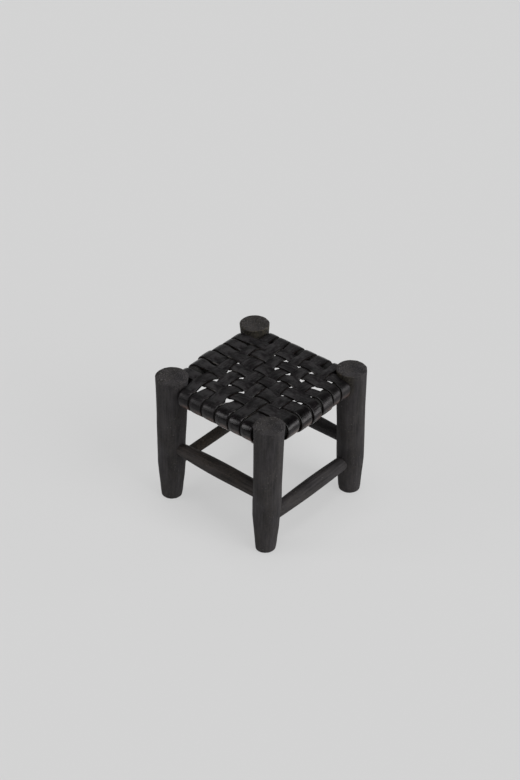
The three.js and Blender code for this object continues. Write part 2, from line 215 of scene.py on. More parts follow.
# %% Soft box group
def softbox_group():
    group, t, given = new_group("soft box", "ShaderNodeTree", [
        ("Azimuth", "Float", 0.0),
        ("Elevation", "Float", 0.0),
        ("Centre azimuth", "Float", 0.0),
        ("Centre elevation", "Float", 30.0),
        ("Half width", "Float", 30.0),
        ("Half height", "Float", 15.0),
        ("Soft edge", "Float", 8.0),
        ("Strength", "Float", 1.0),
    ], ("Strength", "Float"))
    masks = []
    for angle, centre, half in [
        ("Azimuth", "Centre azimuth", "Half width"),
        ("Elevation", "Centre elevation", "Half height"),
    ]:
        away = t.math("ABSOLUTE", t.minus(given[angle], given[centre]))
        inner = t.minus(given[half], given["Soft edge"])
        masks.append(t.ramp(away, inner, given[half], 1.0, 0.0))
    mask = t.times(*masks)
    t.add("NodeGroupOutput", {"Strength": t.times(mask, given["Strength"])})
    return group


SOFTBOX = softbox_group()

# %% World
# Centre azimuth and elevation, half width and half height in degrees, and strength, where 1 is white paper
SOFT_BOXES = {
    "left": (-46, 30, 15, 20, 3.7),
    "right": (132, 10, 24, 16, 4.1),
    "right high": (92, 32, 22, 28, 4.5),
    "overhead": (0, 90, 400, 22, 6.0),
    "behind": (-140, 22, 38, 28, 0.44),
}
# Light from all round, light from the camera's side, and how that one fades towards the far side
ROOM = 0.06
FRONT_FILL = 0.27
FRONT_SPREAD = (-0.2, 0.8)
BACKGROUND = (0.664, 0.664, 0.664, 1)

world = bpy.data.worlds.new("studio")
world.use_nodes = True
world.node_tree.nodes.clear()
t = Tree(world.node_tree)
direction = t.add("ShaderNodeTexCoord", output="Generated")
axes = t.add("ShaderNodeSeparateXYZ", {0: direction}).node.outputs
azimuth = t.math("DEGREES", t.math("ARCTAN2", axes["X"], t.times(axes["Y"], -1)))
elevation = t.math("DEGREES", t.math("ARCSINE", axes["Z"]))
towards_camera = t.vector("DOT_PRODUCT", direction, (back.x, back.y, 0), output="Value")
light = t.plus(t.times(t.ramp(towards_camera, *FRONT_SPREAD), FRONT_FILL), ROOM)
for turn, height, half_width, half_height, strength in SOFT_BOXES.values():
    box = t.add("ShaderNodeGroup", {
        "Azimuth": azimuth,
        "Elevation": elevation,
        "Centre azimuth": turn,
        "Centre elevation": height,
        "Half width": half_width,
        "Half height": half_height,
        "Strength": strength,
    }, node_tree=SOFTBOX)
    light = t.plus(light, box)
seen = t.add("ShaderNodeLightPath", output="Is Camera Ray")
paper = t.add("ShaderNodeBackground", {"Color": BACKGROUND})
studio = t.add("ShaderNodeBackground", {"Strength": light})
t.add("ShaderNodeOutputWorld", {"Surface": t.add("ShaderNodeMixShader", {0: seen, 1: studio, 2: paper})})
bpy.context.scene.world = world
bpy.context.scene.view_settings.view_transform = "Standard"
print("soft boxes:", ", ".join(SOFT_BOXES))

# %% [markdown]
# ## The floor
#
# The stool stands on a pale paper floor with hardly any shadow. A plain diffuse floor under this light gives
# a much darker shadow, so what the camera sees is a mix: mostly an even glow of the paper's colour, and a
# share of the real lit floor, which brings the shadow in. Light that bounces off the floor onto the stool
# still meets the plain diffuse one.

# %% Floor
FLOOR_SIZE = 40
FLOOR_COLOUR = (0.64, 0.64, 0.64, 1)
SHADOW_SHARE = 0.26

half = FLOOR_SIZE / 2
floor_corners = [(-half, -half, 0), (half, -half, 0), (half, half, 0), (-half, half, 0)]
floor_mesh = bpy.data.meshes.new("floor")
floor_mesh.from_pydata(floor_corners, [], [(0, 1, 2, 3)])
floor = add_object("floor", floor_mesh)
floor_paper = bpy.data.materials.new("floor paper")
floor_paper.use_nodes = True
floor_paper.node_tree.nodes.clear()
t = Tree(floor_paper.node_tree)
rays = t.add("ShaderNodeLightPath").node.outputs
direct = t.larger(rays["Is Camera Ray"], t.larger(rays["Is Glossy Ray"], rays["Is Transmission Ray"]))
lit = t.add("ShaderNodeBsdfDiffuse", {"Color": FLOOR_COLOUR})
glow = t.add("ShaderNodeEmission", {"Color": BACKGROUND})
shown = t.add("ShaderNodeMixShader", {0: SHADOW_SHARE, 1: glow, 2: lit})
t.add("ShaderNodeOutputMaterial", {"Surface": t.add("ShaderNodeMixShader", {0: direct, 1: lit, 2: shown})})
floor_mesh.materials.append(floor_paper)
floor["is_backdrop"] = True

# %% [markdown]
# ## The finishes
#
# Two effects are used by more than one finish. Stain never takes evenly, so the wood and the leather both
# have blotches. Handling leaves pale specks and short scratches on both. Each effect is a node group that
# reads a place in metres on the piece, whose third number runs along the grain or along the strap.


# %% Blotches and scuffs
def drawn_out(t, place, length):
    """The place, squeezed along the piece so that a pattern read there comes out longer."""
    squeeze = t.add("ShaderNodeCombineXYZ", {0: 1.0, 1: 1.0, 2: t.math("DIVIDE", 1.0, length)})
    return t.vector("MULTIPLY", place, squeeze)


def blotch_group():
    """Soft uneven patches, 0 to 1, of the given size in metres, drawn out along the piece."""
    group, t, given = new_group("blotches", "ShaderNodeTree", [
        ("Place", "Vector", None),
        ("Size", "Float", 0.03),
        ("Length", "Float", 3.0),
    ], ("Mask", "Float"))
    stretched = drawn_out(t, given["Place"], given["Length"])
    patches = t.noise(stretched, t.math("DIVIDE", 1.0, given["Size"]), 3.0, 0.6)
    t.add("NodeGroupOutput", {"Mask": t.ramp(patches, 0.3, 0.7)})
    return group


def scuff_group():
    """Pale specks and short scratches along the piece, 0 to 1. They lie in patches, where hands rub."""
    group, t, given = new_group("scuffs", "ShaderNodeTree", [
        ("Place", "Vector", None),
        ("Size", "Float", 0.0012),
        ("Length", "Float", 5.0),
        ("Amount", "Float", 0.3),
    ], ("Mask", "Float"))
    fine = t.math("DIVIDE", 1.0, given["Size"])
    limit = t.minus(0.78, t.times(given["Amount"], 0.2))
    scratches = t.noise(drawn_out(t, given["Place"], given["Length"]), fine, 2.0, 0.7)
    lines = t.ramp(scratches, limit, t.plus(limit, 0.06))
    dots = t.noise(given["Place"], t.times(fine, 0.6), 1.0, 0.5)
    spots = t.ramp(dots, t.plus(limit, 0.02), t.plus(limit, 0.07))
    patches = t.ramp(t.noise(given["Place"], t.times(fine, 0.05)), 0.45, 0.6)
    t.add("NodeGroupOutput", {"Mask": t.times(t.larger(lines, spots), patches)})
    return group


BLOTCHES = blotch_group()
SCUFFS = scuff_group()

# %% [markdown]
# ### Stained wood
#
# The sticks are a light wood under a thin, matt, near-black stain. The grain runs along each stick in fine
# streaks, the growth rings show on the sawn ends, and here and there the brown of the wood comes through.
# The pattern is made in space rather than wrapped on: rings round the heart of the stick give streaks on
# the sides and circles on the ends by themselves.
#
# A wood is given by a dark and a light tone, the brown under the stain, how much of the brown shows and how
# strong the grain is. Where the grain is weaker, the tone is more even and a fine speckle takes its place.

# %% Wood material
# Noise mostly stays inside this span, so a ramp over it uses all tones
NOISE_SPAN = (0.36, 0.64)
# Two growth rings are 2 pi / 1500 of a metre apart
RING_WAVES = 1500.0
RUBBED_WOOD = (0.15, 0.142, 0.135, 1)


def new_material(name):
    """A material, a Tree to build it with, and the surface node that the tree feeds."""
    material = bpy.data.materials.new(name)
    material.use_nodes = True
    return material, Tree(material.node_tree), material.node_tree.nodes["Principled BSDF"]


def use_group(t, group, **values):
    """Adds a group node. Each keyword fills the input of that name."""
    inputs = {name.capitalize(): value for name, value in values.items()}
    return t.add("ShaderNodeGroup", inputs, node_tree=group)


def wood_material(name, dark, light, brown, brown_amount, grain=1.0):
    material, t, surface = new_material(name)
    place = t.read("place", "Vector")
    sawn, rim, thin_stain = t.read("sawn"), t.read("rim"), t.read("thin_stain")
    parts = t.add("ShaderNodeSeparateXYZ", {0: place}).node.outputs
    blotch = use_group(t, BLOTCHES, place=place, size=0.022, length=2.5)
    speckle = t.ramp(t.noise(place, 420.0, 4.0, 0.75), 0.38, 0.62)

    # The tone of the sides: fine and coarse streaks, blotches and speckle
    streaks = t.noise(t.vector("MULTIPLY", place, (1.0, 1.0, 0.03)), 520.0, 4.0, 0.65)
    coarse = t.noise(t.vector("MULTIPLY", place, (1.0, 1.0, 0.05)), 210.0, 3.0, 0.6)
    side_tone = t.times(t.ramp(streaks, *NOISE_SPAN), 0.42 * grain)
    side_tone = t.times_plus(t.ramp(coarse, *NOISE_SPAN), 0.33 * grain, side_tone)
    side_tone = t.plus(side_tone, 0.12 + 0.37 * (1 - grain))
    side_tone = t.times_plus(t.minus(blotch, 0.5), 0.4, side_tone)
    side_tone = t.times_plus(t.minus(speckle, 0.5), 0.5 * (1 - grain), side_tone)

    # The tone of the sawn ends: growth rings, blotches, speckle and one crack from drying
    across = t.add("ShaderNodeCombineXYZ", {0: parts["X"], 1: parts["Y"], 2: 0.0})
    from_heart = t.plus(t.vector("LENGTH", across, output="Value"), t.times(t.noise(place, 45.0), 0.008))
    rings = t.math("SINE", t.times(from_heart, RING_WAVES))
    slant = t.plus(parts["X"], t.times(t.noise(place, 130.0), 0.007))
    crack = t.ramp(t.math("ABSOLUTE", t.minus(slant, 0.0035)), 0.0003, 0.0011, 1.0, 0.0)
    crack = t.times(crack, t.ramp(parts["Y"], -0.004, 0.004))
    end_tone = t.times_plus(speckle, 0.45, t.times_plus(blotch, 0.5, -0.17))
    end_tone = t.times_plus(rings, 0.15, end_tone)
    end_tone = t.minus(end_tone, t.times(crack, 0.5))

    # The colour: the stained tone, brown where the stain is thin, and pale where it is rubbed
    tone = t.add("ShaderNodeMix", {0: sawn, 2: side_tone, 3: end_tone}, data_type="FLOAT")
    bare = use_group(t, BLOTCHES, place=t.vector("ADD", place, (0.3, 0.1, 0.2)), size=0.03, length=2.0)
    bare = t.larger(t.times(thin_stain, 0.75), t.times(bare, brown_amount))
    uneven = t.ramp(t.noise(place, 240.0, 3.0, 0.7), 0.35, 0.65)
    warm = t.mix(uneven, tuple(0.12 * c for c in brown), tuple(1.4 * c for c in brown))
    colour = t.mix(bare, t.mix(tone, dark, light), warm)
    scuffs = use_group(t, SCUFFS, place=place, size=0.0016, length=3.0, amount=0.46)
    wear = use_group(t, SCUFFS, place=place, size=0.0024, length=1.2, amount=0.8)
    worn = t.larger(t.times(scuffs, 0.8), t.times(wear, t.times(rim, 0.4)))
    colour = t.mix(worn, colour, RUBBED_WOOD)

    # The relief and the gloss follow the streaks
    height = t.times_plus(streaks, 0.9, t.times(rings, 0.05))
    height = t.minus(height, t.times(crack, t.times(sawn, 1.5)))
    bump = t.add("ShaderNodeBump", {"Strength": 0.6, "Distance": 0.0007, "Height": height})
    rough = t.times_plus(streaks, 0.3, 0.62)
    t.fill(surface, {"Base Color": colour, "Roughness": rough, "Normal": bump})
    surface.inputs["Specular IOR Level"].default_value = 0.28
    return material


# %% The four woods
LEG_WOOD = wood_material(
    "black stained wood",
    dark=(0.0072, 0.0063, 0.0071, 1),
    light=(0.0515, 0.0471, 0.0498, 1),
    brown=(0.034, 0.0285, 0.018, 1),
    brown_amount=0.25,
    grain=0.75,
)
BAR_WOOD = wood_material(
    "thin stained wood",
    dark=(0.005, 0.0043, 0.004, 1),
    light=(0.052, 0.0454, 0.0437, 1),
    brown=(0.038, 0.027, 0.019, 1),
    brown_amount=0.45,
)
# The left back stretcher's wood: browner than the other bars', and darker as painted shade
WARM_SHADED_WOOD = wood_material(
    "brown stained wood",
    dark=(0.003, 0.0024, 0.002, 1),
    light=(0.0235, 0.019, 0.0152, 1),
    brown=(0.034, 0.022, 0.013, 1),
    brown_amount=0.5,
)
# The rails show only through the slots of the weave. Their near-black wood is painted shade for the shaded
# inside of the seat
SHADED_RAIL_WOOD = wood_material(
    "blackened wood",
    dark=(0.003, 0.0029, 0.0028, 1),
    light=(0.009, 0.0085, 0.0083, 1),
    brown=(0.01, 0.008, 0.006, 1),
    brown_amount=0.3,
)

# %% [markdown]
# ### Black leather
#
# The straps are cut from one hide, grain side up, and finished with a satin black. The grain is a net of
# tiny cells, and it creases across the strap where it bends round a rail. The cut edge is dark and fibrous
# and the flesh side is brown. Each strap has a dullness of its own, because some parts of a hide take a
# better shine.
#
# Where leather is fibrous, creased or dull it hardly mirrors at all. More roughness would only spread the
# reflection and turn the black grey. So a mask raises Metallic there, and also next to the edge of a strap
# above, as painted shade: a metal mirrors in its own colour, and that colour is black.


# %% Leather material
# Colours of the leather. Some of them are painted light: the pale cut edge is bare leather and a painted
# highlight, the red under the rails is raw leather and a painted floor reflection, and the near-black next
# to the edge of an upper strap is painted shade
HIDE = {
    "dark": (0.0004, 0.0003, 0.0004, 1),
    "light": (0.0136, 0.0106, 0.0123, 1),
    "scuffed": (0.07, 0.066, 0.062, 1),
    "wrinkled": (0.05, 0.047, 0.045, 1),
    "cut": (0.0022, 0.0019, 0.0018, 1),
    "pale cut and highlight": (0.1, 0.092, 0.084, 1),
    "red_and_reflection": (0.085, 0.045, 0.034, 1),
    "crease": (0.001, 0.0009, 0.0009, 1),
    "flesh side": (0.045, 0.019, 0.014, 1),
}


def leather_material():
    material, t, surface = new_material("black strap leather")
    place = t.read("place", "Vector")
    side, wrap, dull = t.read("grain_side"), t.read("wrap"), t.read("dullness")
    cut, turned, crease = t.read("cut_edge"), t.read("turned"), t.read("crease")
    flat = t.minus(1.0, wrap)
    cells = t.add("ShaderNodeTexVoronoi", {"Vector": place, "Scale": 1100.0}, feature="F1")
    creases = t.noise(t.vector("MULTIPLY", place, (0.16, 1.0, 1.0)), 420.0, 3.0, 0.6)
    wrinkles = t.times(t.ramp(creases, 0.5, 0.68), wrap)
    strokes = t.noise(t.vector("MULTIPLY", place, (1.0, 1.0, 0.35)), 220.0, 3.0, 0.65)
    strokes = t.ramp(strokes, *NOISE_SPAN)
    mottle = use_group(t, BLOTCHES, place=place, size=0.016, length=1.6)
    rub = use_group(t, BLOTCHES, place=t.vector("ADD", place, (0.2, 0.4, 0.1)), size=0.02, length=2.0)
    scuffs = use_group(t, SCUFFS, place=place, size=0.0011, length=3.0, amount=0.3)
    # Pale patches on the cut edge: bare leather, and a painted highlight where an edge catches the light
    pale_cut_and_highlight = t.ramp(t.noise(t.vector("ADD", place, (0.5, 0.1, 0.7)), 26.0, 1.0), 0.6, 0.68)
    pale_cut_and_highlight = t.times(pale_cut_and_highlight, flat)
    # Under the rails: raw red-brown leather, and a painted warm reflection of the floor, which keeps its
    # shine
    beneath = t.ramp(turned, 1.45, 2.1)
    red_and_reflection = t.ramp(t.noise(t.vector("ADD", place, (0.3, 0.3, 0.3)), 50.0, 2.0), 0.35, 0.6)

    # The colour: the uneven black finish, and over it each place where something else shows, painted light
    # among
    # them: a painted highlight on some cut edges, a painted floor reflection under the rails, and painted
    # shade where a strap dives under another
    mottle = t.times_plus(strokes, 0.4, t.times(mottle, 0.6))
    colour = t.mix(mottle, HIDE["dark"], HIDE["light"])
    for share, shows in [
        (t.times(scuffs, 0.6), "scuffed"),
        (t.times(wrinkles, t.times(dull, 0.4)), "wrinkled"),
        (t.times(cut, 0.8), "cut"),
        (t.times(cut, t.times(pale_cut_and_highlight, 0.6)), "pale cut and highlight"),
        (t.times(beneath, red_and_reflection), "red_and_reflection"),
        (t.times(crease, 0.6), "crease"),
        (t.minus(1.0, side), "flesh side"),
    ]:
        colour = t.mix(share, colour, HIDE[shows])

    # Where the leather hardly mirrors: cut edges, dull and wrinkled wraps and uneven patches, and next to
    # the edge of a strap above, as painted shade
    fuzzy_and_shaded = t.times(t.times(cut, t.minus(1.0, pale_cut_and_highlight)), 0.85)
    fuzzy_and_shaded = t.larger(fuzzy_and_shaded, t.times(crease, 0.6))
    fuzzy_and_shaded = t.larger(fuzzy_and_shaded, t.times(wrap, t.times_plus(dull, 0.35, 0.28)))
    fuzzy_and_shaded = t.larger(fuzzy_and_shaded, t.times(wrinkles, 0.8))
    fuzzy_and_shaded = t.times(fuzzy_and_shaded, t.minus(1.0, beneath))
    uneven = t.ramp(t.times_plus(strokes, 0.4, t.times(rub, 0.6)), 0.15, 0.8)
    fuzzy_and_shaded = t.larger(fuzzy_and_shaded, t.times(uneven, t.times_plus(wrap, -0.25, 0.85)))
    fuzzy_and_shaded = t.times(fuzzy_and_shaded, side)

    # The roughness: smoothest on a shiny wrap, and the same all over the flesh side
    rough = t.times_plus(rub, 0.08, 0.14)
    rough = t.times_plus(dull, 0.26, rough)
    rough = t.times_plus(flat, 0.18, rough)
    rough = t.times_plus(cut, 0.35, rough)
    rough = t.plus(t.times(rough, side), t.times(t.minus(1.0, side), 0.8))

    # The relief: the cells of the grain, and creases that are deeper round the rail
    height = t.times_plus(cells, 0.3, t.times(creases, t.times_plus(wrap, 1.3, 0.6)))
    bump = t.add("ShaderNodeBump", {"Strength": 0.5, "Distance": 0.0003, "Height": height})
    t.fill(surface, {"Base Color": colour, "Roughness": rough, "Metallic": fuzzy_and_shaded, "Normal": bump})
    return material


LEATHER = leather_material()


# %% Steel for the tacks
def steel_material():
    material, t, surface = new_material("blackened steel")
    place = t.add("ShaderNodeTexCoord", output="Object")
    blotch = use_group(t, BLOTCHES, place=place, size=0.003, length=1.0)
    rust = use_group(t, SCUFFS, place=place, size=0.0006, length=1.0, amount=0.5)
    colour = t.mix(blotch, (0.028, 0.026, 0.025, 1), (0.09, 0.085, 0.08, 1))
    colour = t.mix(rust, colour, (0.11, 0.045, 0.02, 1))
    t.fill(surface, {"Base Color": colour, "Roughness": t.ramp(blotch, 0.0, 1.0, 0.38, 0.6)})
    surface.inputs["Metallic"].default_value = 1.0
    return material


STEEL = steel_material()
print("materials:", [m.name for m in bpy.data.materials if m.users])

# %% [markdown]
# ## Reading the turned shapes from the CAD
#
# A leg or a bar in the CAD is a plain turned solid: a row of rings. The fine pieces must have exactly its
# size and lean, so the rings are measured instead of typed in again. Corners at the same distance along the
# stick belong to one ring, and the ring's extent gives its centre and its two half widths.

# %% Ring measuring
RING_CORNERS = 16
RING_GAP = 0.06 * MM


def cad_rings(node, axis):
    """Distance along the stick, centre and two half widths of each ring of a turned CAD node."""
    corners = np.array([v.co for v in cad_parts[node].data.vertices])
    corners = np.unique(corners.round(6), axis=0)
    near, far = (
        corners[np.abs(corners[:, axis] - end) < MM].mean(0)
        for end in (corners[:, axis].min(), corners[:, axis].max())
    )
    run = (far - near) / np.linalg.norm(far - near)
    along = corners[:, axis] - corners[:, axis].min() if axis == 2 else (corners - near) @ run
    order = np.argsort(along)
    groups = np.split(order, np.nonzero(np.diff(along[order]) > RING_GAP)[0] + 1)
    others = [i for i in range(3) if i != axis]
    rings = []
    for group in groups:
        if len(group) >= RING_CORNERS:
            low, high = corners[group].min(0), corners[group].max(0)
            rings.append([along[group].mean(), *(low + high) / 2, *((high - low) / 2)[others]])
    return np.array(rings), run


legs_rings = {name: cad_rings(f"{name}_leg", 2)[0] for name in ("left", "front", "right", "back")}
for name, rings in legs_rings.items():
    print(name, "leg:", len(rings), "rings, top radius", round(rings[-2, 4] / MM, 2), "mm")

# %% [markdown]
# ## Whittled sticks
#
# A drawknife leaves a stick almost round, with long shallow flats that start and end where the cut did. Near
# the foot the maker cut steeper flats all round to make it taper. A plain lathe shape has none of this, and
# bump alone would not change its outline, so the flats go into the mesh: the radius in each direction is the
# nearest of the round stick and a set of slowly wandering flat planes.

# %% Smooth randomness
def smooth(value, low, high):
    """A smooth step from 0 to 1 while the value goes from low to high."""
    t = np.clip((value - low) / (high - low), 0, 1)
    return t * t * (3 - 2 * t)


WANDER_KNOTS = 64
WANDER_START = 4
RIPPLE_WAVES = 14
RIPPLE_SUM = 5


def wander(random, count, reach):
    """Smooth random curves between -1 and 1, as a function of distance in units of the reach."""
    knots = random.uniform(-1, 1, (count, WANDER_KNOTS))

    def at(distance):
        place = np.asarray(distance) / reach + WANDER_START
        low = np.clip(np.floor(place).astype(int), 0, WANDER_KNOTS - 2)
        blend = smooth(place, low, low + 1)
        return knots[:, low] * (1 - blend) + knots[:, low + 1] * blend

    return at


def ripple(points, cell, seed):
    """A smooth random field between about -1 and 1 at each point, with bumps of the given size."""
    random = np.random.default_rng(seed)
    waves = random.normal(size=(RIPPLE_WAVES, 3)) / np.asarray(cell)
    phases = random.uniform(0, 2 * math.pi, RIPPLE_WAVES)
    return np.sin(points @ waves.T + phases).sum(1) / RIPPLE_SUM


# %% Flat cuts
# The long cuts: how many, how deep as a share of the radius, how long, and how much they differ
FLAT_COUNT = 11
FLAT_DEPTH = 0.02
FLAT_REACH = 0.07
FLAT_SCATTER = 0.28
FLAT_VARIETY = 0.7
# The cuts of a foot: how much they differ, the height they aim at, and how lean they leave it
FOOT_SCATTER = 0.2
FOOT_HEIGHT = 0.006
FOOT_LEAN = 0.985
# A cut is left out where its plane turns away further than this, by a share that no other cut exceeds
CUT_FACING = 0.3
UNCUT = 9.0


def one_cut(turns, centre, level):
    """The share of the radius that one flat cut leaves. The level is its share in the middle of the cut."""
    facing = np.cos(turns - centre)
    return np.where(facing > CUT_FACING, level[:, None] / np.maximum(facing, CUT_FACING), UNCUT)


def flats(turns, along, random):
    """The share of the radius that the long cuts leave in each direction, at each distance along."""
    scatter = random.uniform(-FLAT_SCATTER, FLAT_SCATTER, FLAT_COUNT)
    centres = (np.arange(FLAT_COUNT) + scatter) * 2 * math.pi / FLAT_COUNT
    levels = 1 - FLAT_DEPTH * (1 + FLAT_VARIETY * wander(random, FLAT_COUNT, FLAT_REACH)(along))
    share = np.ones((len(along), len(turns)))
    for centre, level in zip(centres, levels):
        share = np.minimum(share, one_cut(turns, centre, level))
    return share / share.mean()


def foot_flats(turns, along, radius, foot, random):
    """Steeper cuts that taper a foot. Each starts at its own height and runs straight to the ground."""
    count, low, high = foot
    share = np.ones((len(along), len(turns)))
    bottom = np.interp(FOOT_HEIGHT, along, radius) * FOOT_LEAN
    for number in range(count):
        centre = (number + random.uniform(-FOOT_SCATTER, FOOT_SCATTER)) * 2 * math.pi / count
        start = random.uniform(low, high)
        top = np.interp(start, along, radius) * random.uniform(FOOT_LEAN, 1.0)
        plane = bottom + (top - bottom) * (along - FOOT_HEIGHT) / (start - FOOT_HEIGHT)
        share = np.minimum(share, one_cut(turns, centre, plane / radius))
    return share


# %% Solids from rings
def write_attribute(mesh, name, values):
    """Gives every point of a mesh a number, or a vector, under a name that materials and trees can read."""
    values = np.asarray(values, np.float32)
    kind, field = ("FLOAT", "value") if values.ndim == 1 else ("FLOAT_VECTOR", "vector")
    mesh.attributes.new(name, kind, "POINT").data.foreach_set(field, values.ravel())


def ring_solid(name, layers, axis, centre):
    """A closed mesh from rings of points, each with its place on the grain, and a point in each end."""
    count, around = layers.shape[:2]
    points = np.concatenate([layers.reshape(-1, 3), [layers[0].mean(0), layers[-1].mean(0)]])
    last = (count - 1) * around
    pairs = [(i, (i + 1) % around) for i in range(around)]
    starts = range(0, last, around)
    faces = [(a + i, a + j, a + around + j, a + around + i) for a in starts for i, j in pairs]
    for i, j in pairs:
        faces += [(len(points) - 2, j, i), (len(points) - 1, last + i, last + j)]
    mesh = bpy.data.meshes.new(name)
    mesh.from_pydata(points.tolist(), [], faces)
    if axis == 1:
        mesh.flip_normals()
    mesh.shade_smooth()
    others = [i for i in range(3) if i != axis]
    middle = np.stack([np.interp(points[:, axis], centre[:, axis], centre[:, i]) for i in others], 1)
    write_attribute(mesh, "place", np.column_stack([points[:, others] - middle, points[:, axis]]))
    return mesh


# %% Sticks
ROUND_STEPS = 96
STEP_ALONG = 1.8 * MM
LEAST_STEPS = 8
# The slight waves of the surface: how deep, and how long along the stick and round it
WAVE_DEPTH = 0.12 * MM
WAVE_LENGTHS = (0.02, 0.005)
# An end is closed by ever smaller rings. Its rise and its waves are in mm
END_SHRINKS = (0.97, 0.85, 0.65, 0.45, 0.25)
END_RISE = 0.9
END_WAVE = 0.25
END_WAVE_LENGTH = 0.006
# How far below the top the rim wears, and over which facings thin stain fades
RIM_REACH = 0.022
STAIN_SIDE = (0.35, 0.85)


def sawn_end(rim, middle, run, seed):
    """The rings that close an end. They rise a little along the run, unevenly, as an end cut by hand."""
    rings = []
    for shrink in END_SHRINKS:
        ring = middle + (rim - middle) * shrink
        wave = END_WAVE * (ripple(ring, END_WAVE_LENGTH, seed + 5) + 1) * (1 - shrink**8)
        rings.append(ring + run * (END_RISE * (1 - shrink) + wave)[:, None] * MM)
    return rings


def stick_mesh(name, rings, axis, run, seed, foot=None, swell=None, thin_stain=None):
    """A whittled stick through the rings of its CAD solid, closed at both ends."""
    random = np.random.default_rng(seed)
    steps = max(LEAST_STEPS, int((rings[-1, 0] - rings[0, 0]) / STEP_ALONG))
    along = np.unique(np.concatenate([np.linspace(rings[0, 0], rings[-1, 0], steps), rings[:, 0]]))
    centre = np.stack([np.interp(along, rings[:, 0], rings[:, i]) for i in (1, 2, 3)], 1)
    halves = np.stack([np.interp(along, rings[:, 0], rings[:, i]) for i in (4, 5)], 1)
    turns = np.arange(ROUND_STEPS) * 2 * math.pi / ROUND_STEPS
    share = flats(turns, along, random)
    if foot:
        share = np.minimum(share, foot_flats(turns, along, halves.mean(1), foot, random))
    if swell:
        share = share * np.interp(along, *swell)[:, None]
    others = [i for i in range(3) if i != axis]
    spoke = np.zeros((ROUND_STEPS, 3))
    spoke[:, others[0]], spoke[:, others[1]] = np.cos(turns), np.sin(turns)
    size = np.zeros((len(along), 1, 3))
    size[:, 0, others] = halves
    points = centre[:, None, :] + spoke[None] * size * share[:, :, None]
    bumps = ripple(points.reshape(-1, 3), np.where(np.arange(3) == axis, *WAVE_LENGTHS), seed)
    points += spoke[None] * WAVE_DEPTH * bumps.reshape(points.shape[:2])[:, :, None]
    first, last = (sawn_end(points[end], centre[end], run, seed) for end in (0, -1))
    mesh = ring_solid(name, np.stack([*first[::-1], *points, *last]), axis, centre)
    inner = len(END_SHRINKS)
    rim_near = smooth(np.abs(along - along[-1]), RIM_REACH, 0.0)
    rim = np.concatenate([np.zeros(inner), rim_near, np.ones(inner)])
    sawn = np.concatenate([np.ones(inner), np.zeros(len(along)), np.ones(inner)])
    thin = np.zeros((len(along) + 2 * inner, ROUND_STEPS))
    if thin_stain:
        low, high, side, on_top = thin_stain
        facing = 1 if side is None else smooth(np.cos(turns - side), *STAIN_SIDE)
        thin[inner:-inner] = smooth(along, low, high)[:, None] * facing
        thin[-inner:] = on_top
    sawn, rim = (np.repeat(values[:, None], ROUND_STEPS, axis=1) for values in (sawn, rim))
    for label, values in (("sawn", sawn), ("rim", rim), ("thin_stain", thin)):
        write_attribute(mesh, label, np.append(values.ravel(), [values[0, 0], values[-1, 0]]))
    return mesh


def add_piece(name, mesh, material, slot, *nodes):
    """Puts a finished mesh into the scene as a piece that stands for the CAD nodes."""
    piece = add_object(name, mesh)
    if not mesh.materials:
        mesh.materials.append(material)
    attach(piece, "root")
    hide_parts(*nodes)
    return piece


# %% Legs
# How many cuts taper each foot, and between which heights in metres they start
FOOT_FLATS = {
    "left": (8, 0.045, 0.082),
    "front": (8, 0.035, 0.07),
    "right": (7, 0.04, 0.075),
    "back": (8, 0.04, 0.08),
}
# How much fuller or leaner than its CAD solid each leg is: heights in metres and shares of the radius
LEG_SWELLS = {
    "left": ((0.10, 0.13, 0.165, 0.26), (1.0, 1.01, 1.04, 1.045)),
    "front": ((0.06, 0.085, 0.105, 0.14), (1.0, 1.02, 1.04, 1.01)),
    "right": ((0.04, 0.07, 0.13, 0.16), (1.0, 1.02, 1.01, 1.0)),
    "back": ((0.20, 0.25), (1.0, 1.035)),
}
# Where the stain is thin and brown: between two heights, on which side, and how much on the top
THIN_STAINS = {"back": (0.2, 0.262, None, 0.35), "right": (0.215, 0.24, math.radians(258), 0.0)}
UP = np.array([0.0, 0.0, 1.0])
FIRST_LEG_SEED = 11

for number, (name, rings) in enumerate(legs_rings.items()):
    made = f"{name}_leg_whittled"
    hand_work = FOOT_FLATS[name], LEG_SWELLS[name], THIN_STAINS.get(name)
    mesh = stick_mesh(made, rings, 2, UP, FIRST_LEG_SEED + number, *hand_work)
    add_piece(made, mesh, LEG_WOOD, "stained_wood", f"{name}_leg")
    print(name, "leg:", len(mesh.polygons), "faces")

# %% [markdown]
# ## Stretchers and seat rails
#
# These are the same kind of stick, laid on its side. The stretchers swell in the middle like a spindle and
# the rails carry a round tenon at each end, and both shapes are already in their CAD rings.

# %% Bars
# Each bar's axis and wood. The rails' near-black wood and the left back stretcher's darker wood are painted
# shade
BARS = {
    "left_front_stretcher": (0, BAR_WOOD), "back_right_stretcher": (0, LEG_WOOD),
    "left_back_stretcher": (1, WARM_SHADED_WOOD), "front_right_stretcher": (1, LEG_WOOD),
    "left_front_rail": (0, SHADED_RAIL_WOOD), "back_right_rail": (0, SHADED_RAIL_WOOD),
    "left_back_rail": (1, SHADED_RAIL_WOOD), "front_right_rail": (1, SHADED_RAIL_WOOD),
}
FIRST_BAR_SEED = 31

rails = {}
for number, (name, (axis, wood)) in enumerate(BARS.items()):
    rails[name], run = cad_rings(name, axis)
    mesh = stick_mesh(f"{name}_whittled", rails[name], axis, run, FIRST_BAR_SEED + number)
    add_piece(f"{name}_whittled", mesh, wood, "stained_wood", name)
    print(name, "rings:", len(rails[name]), "faces:", len(mesh.polygons))

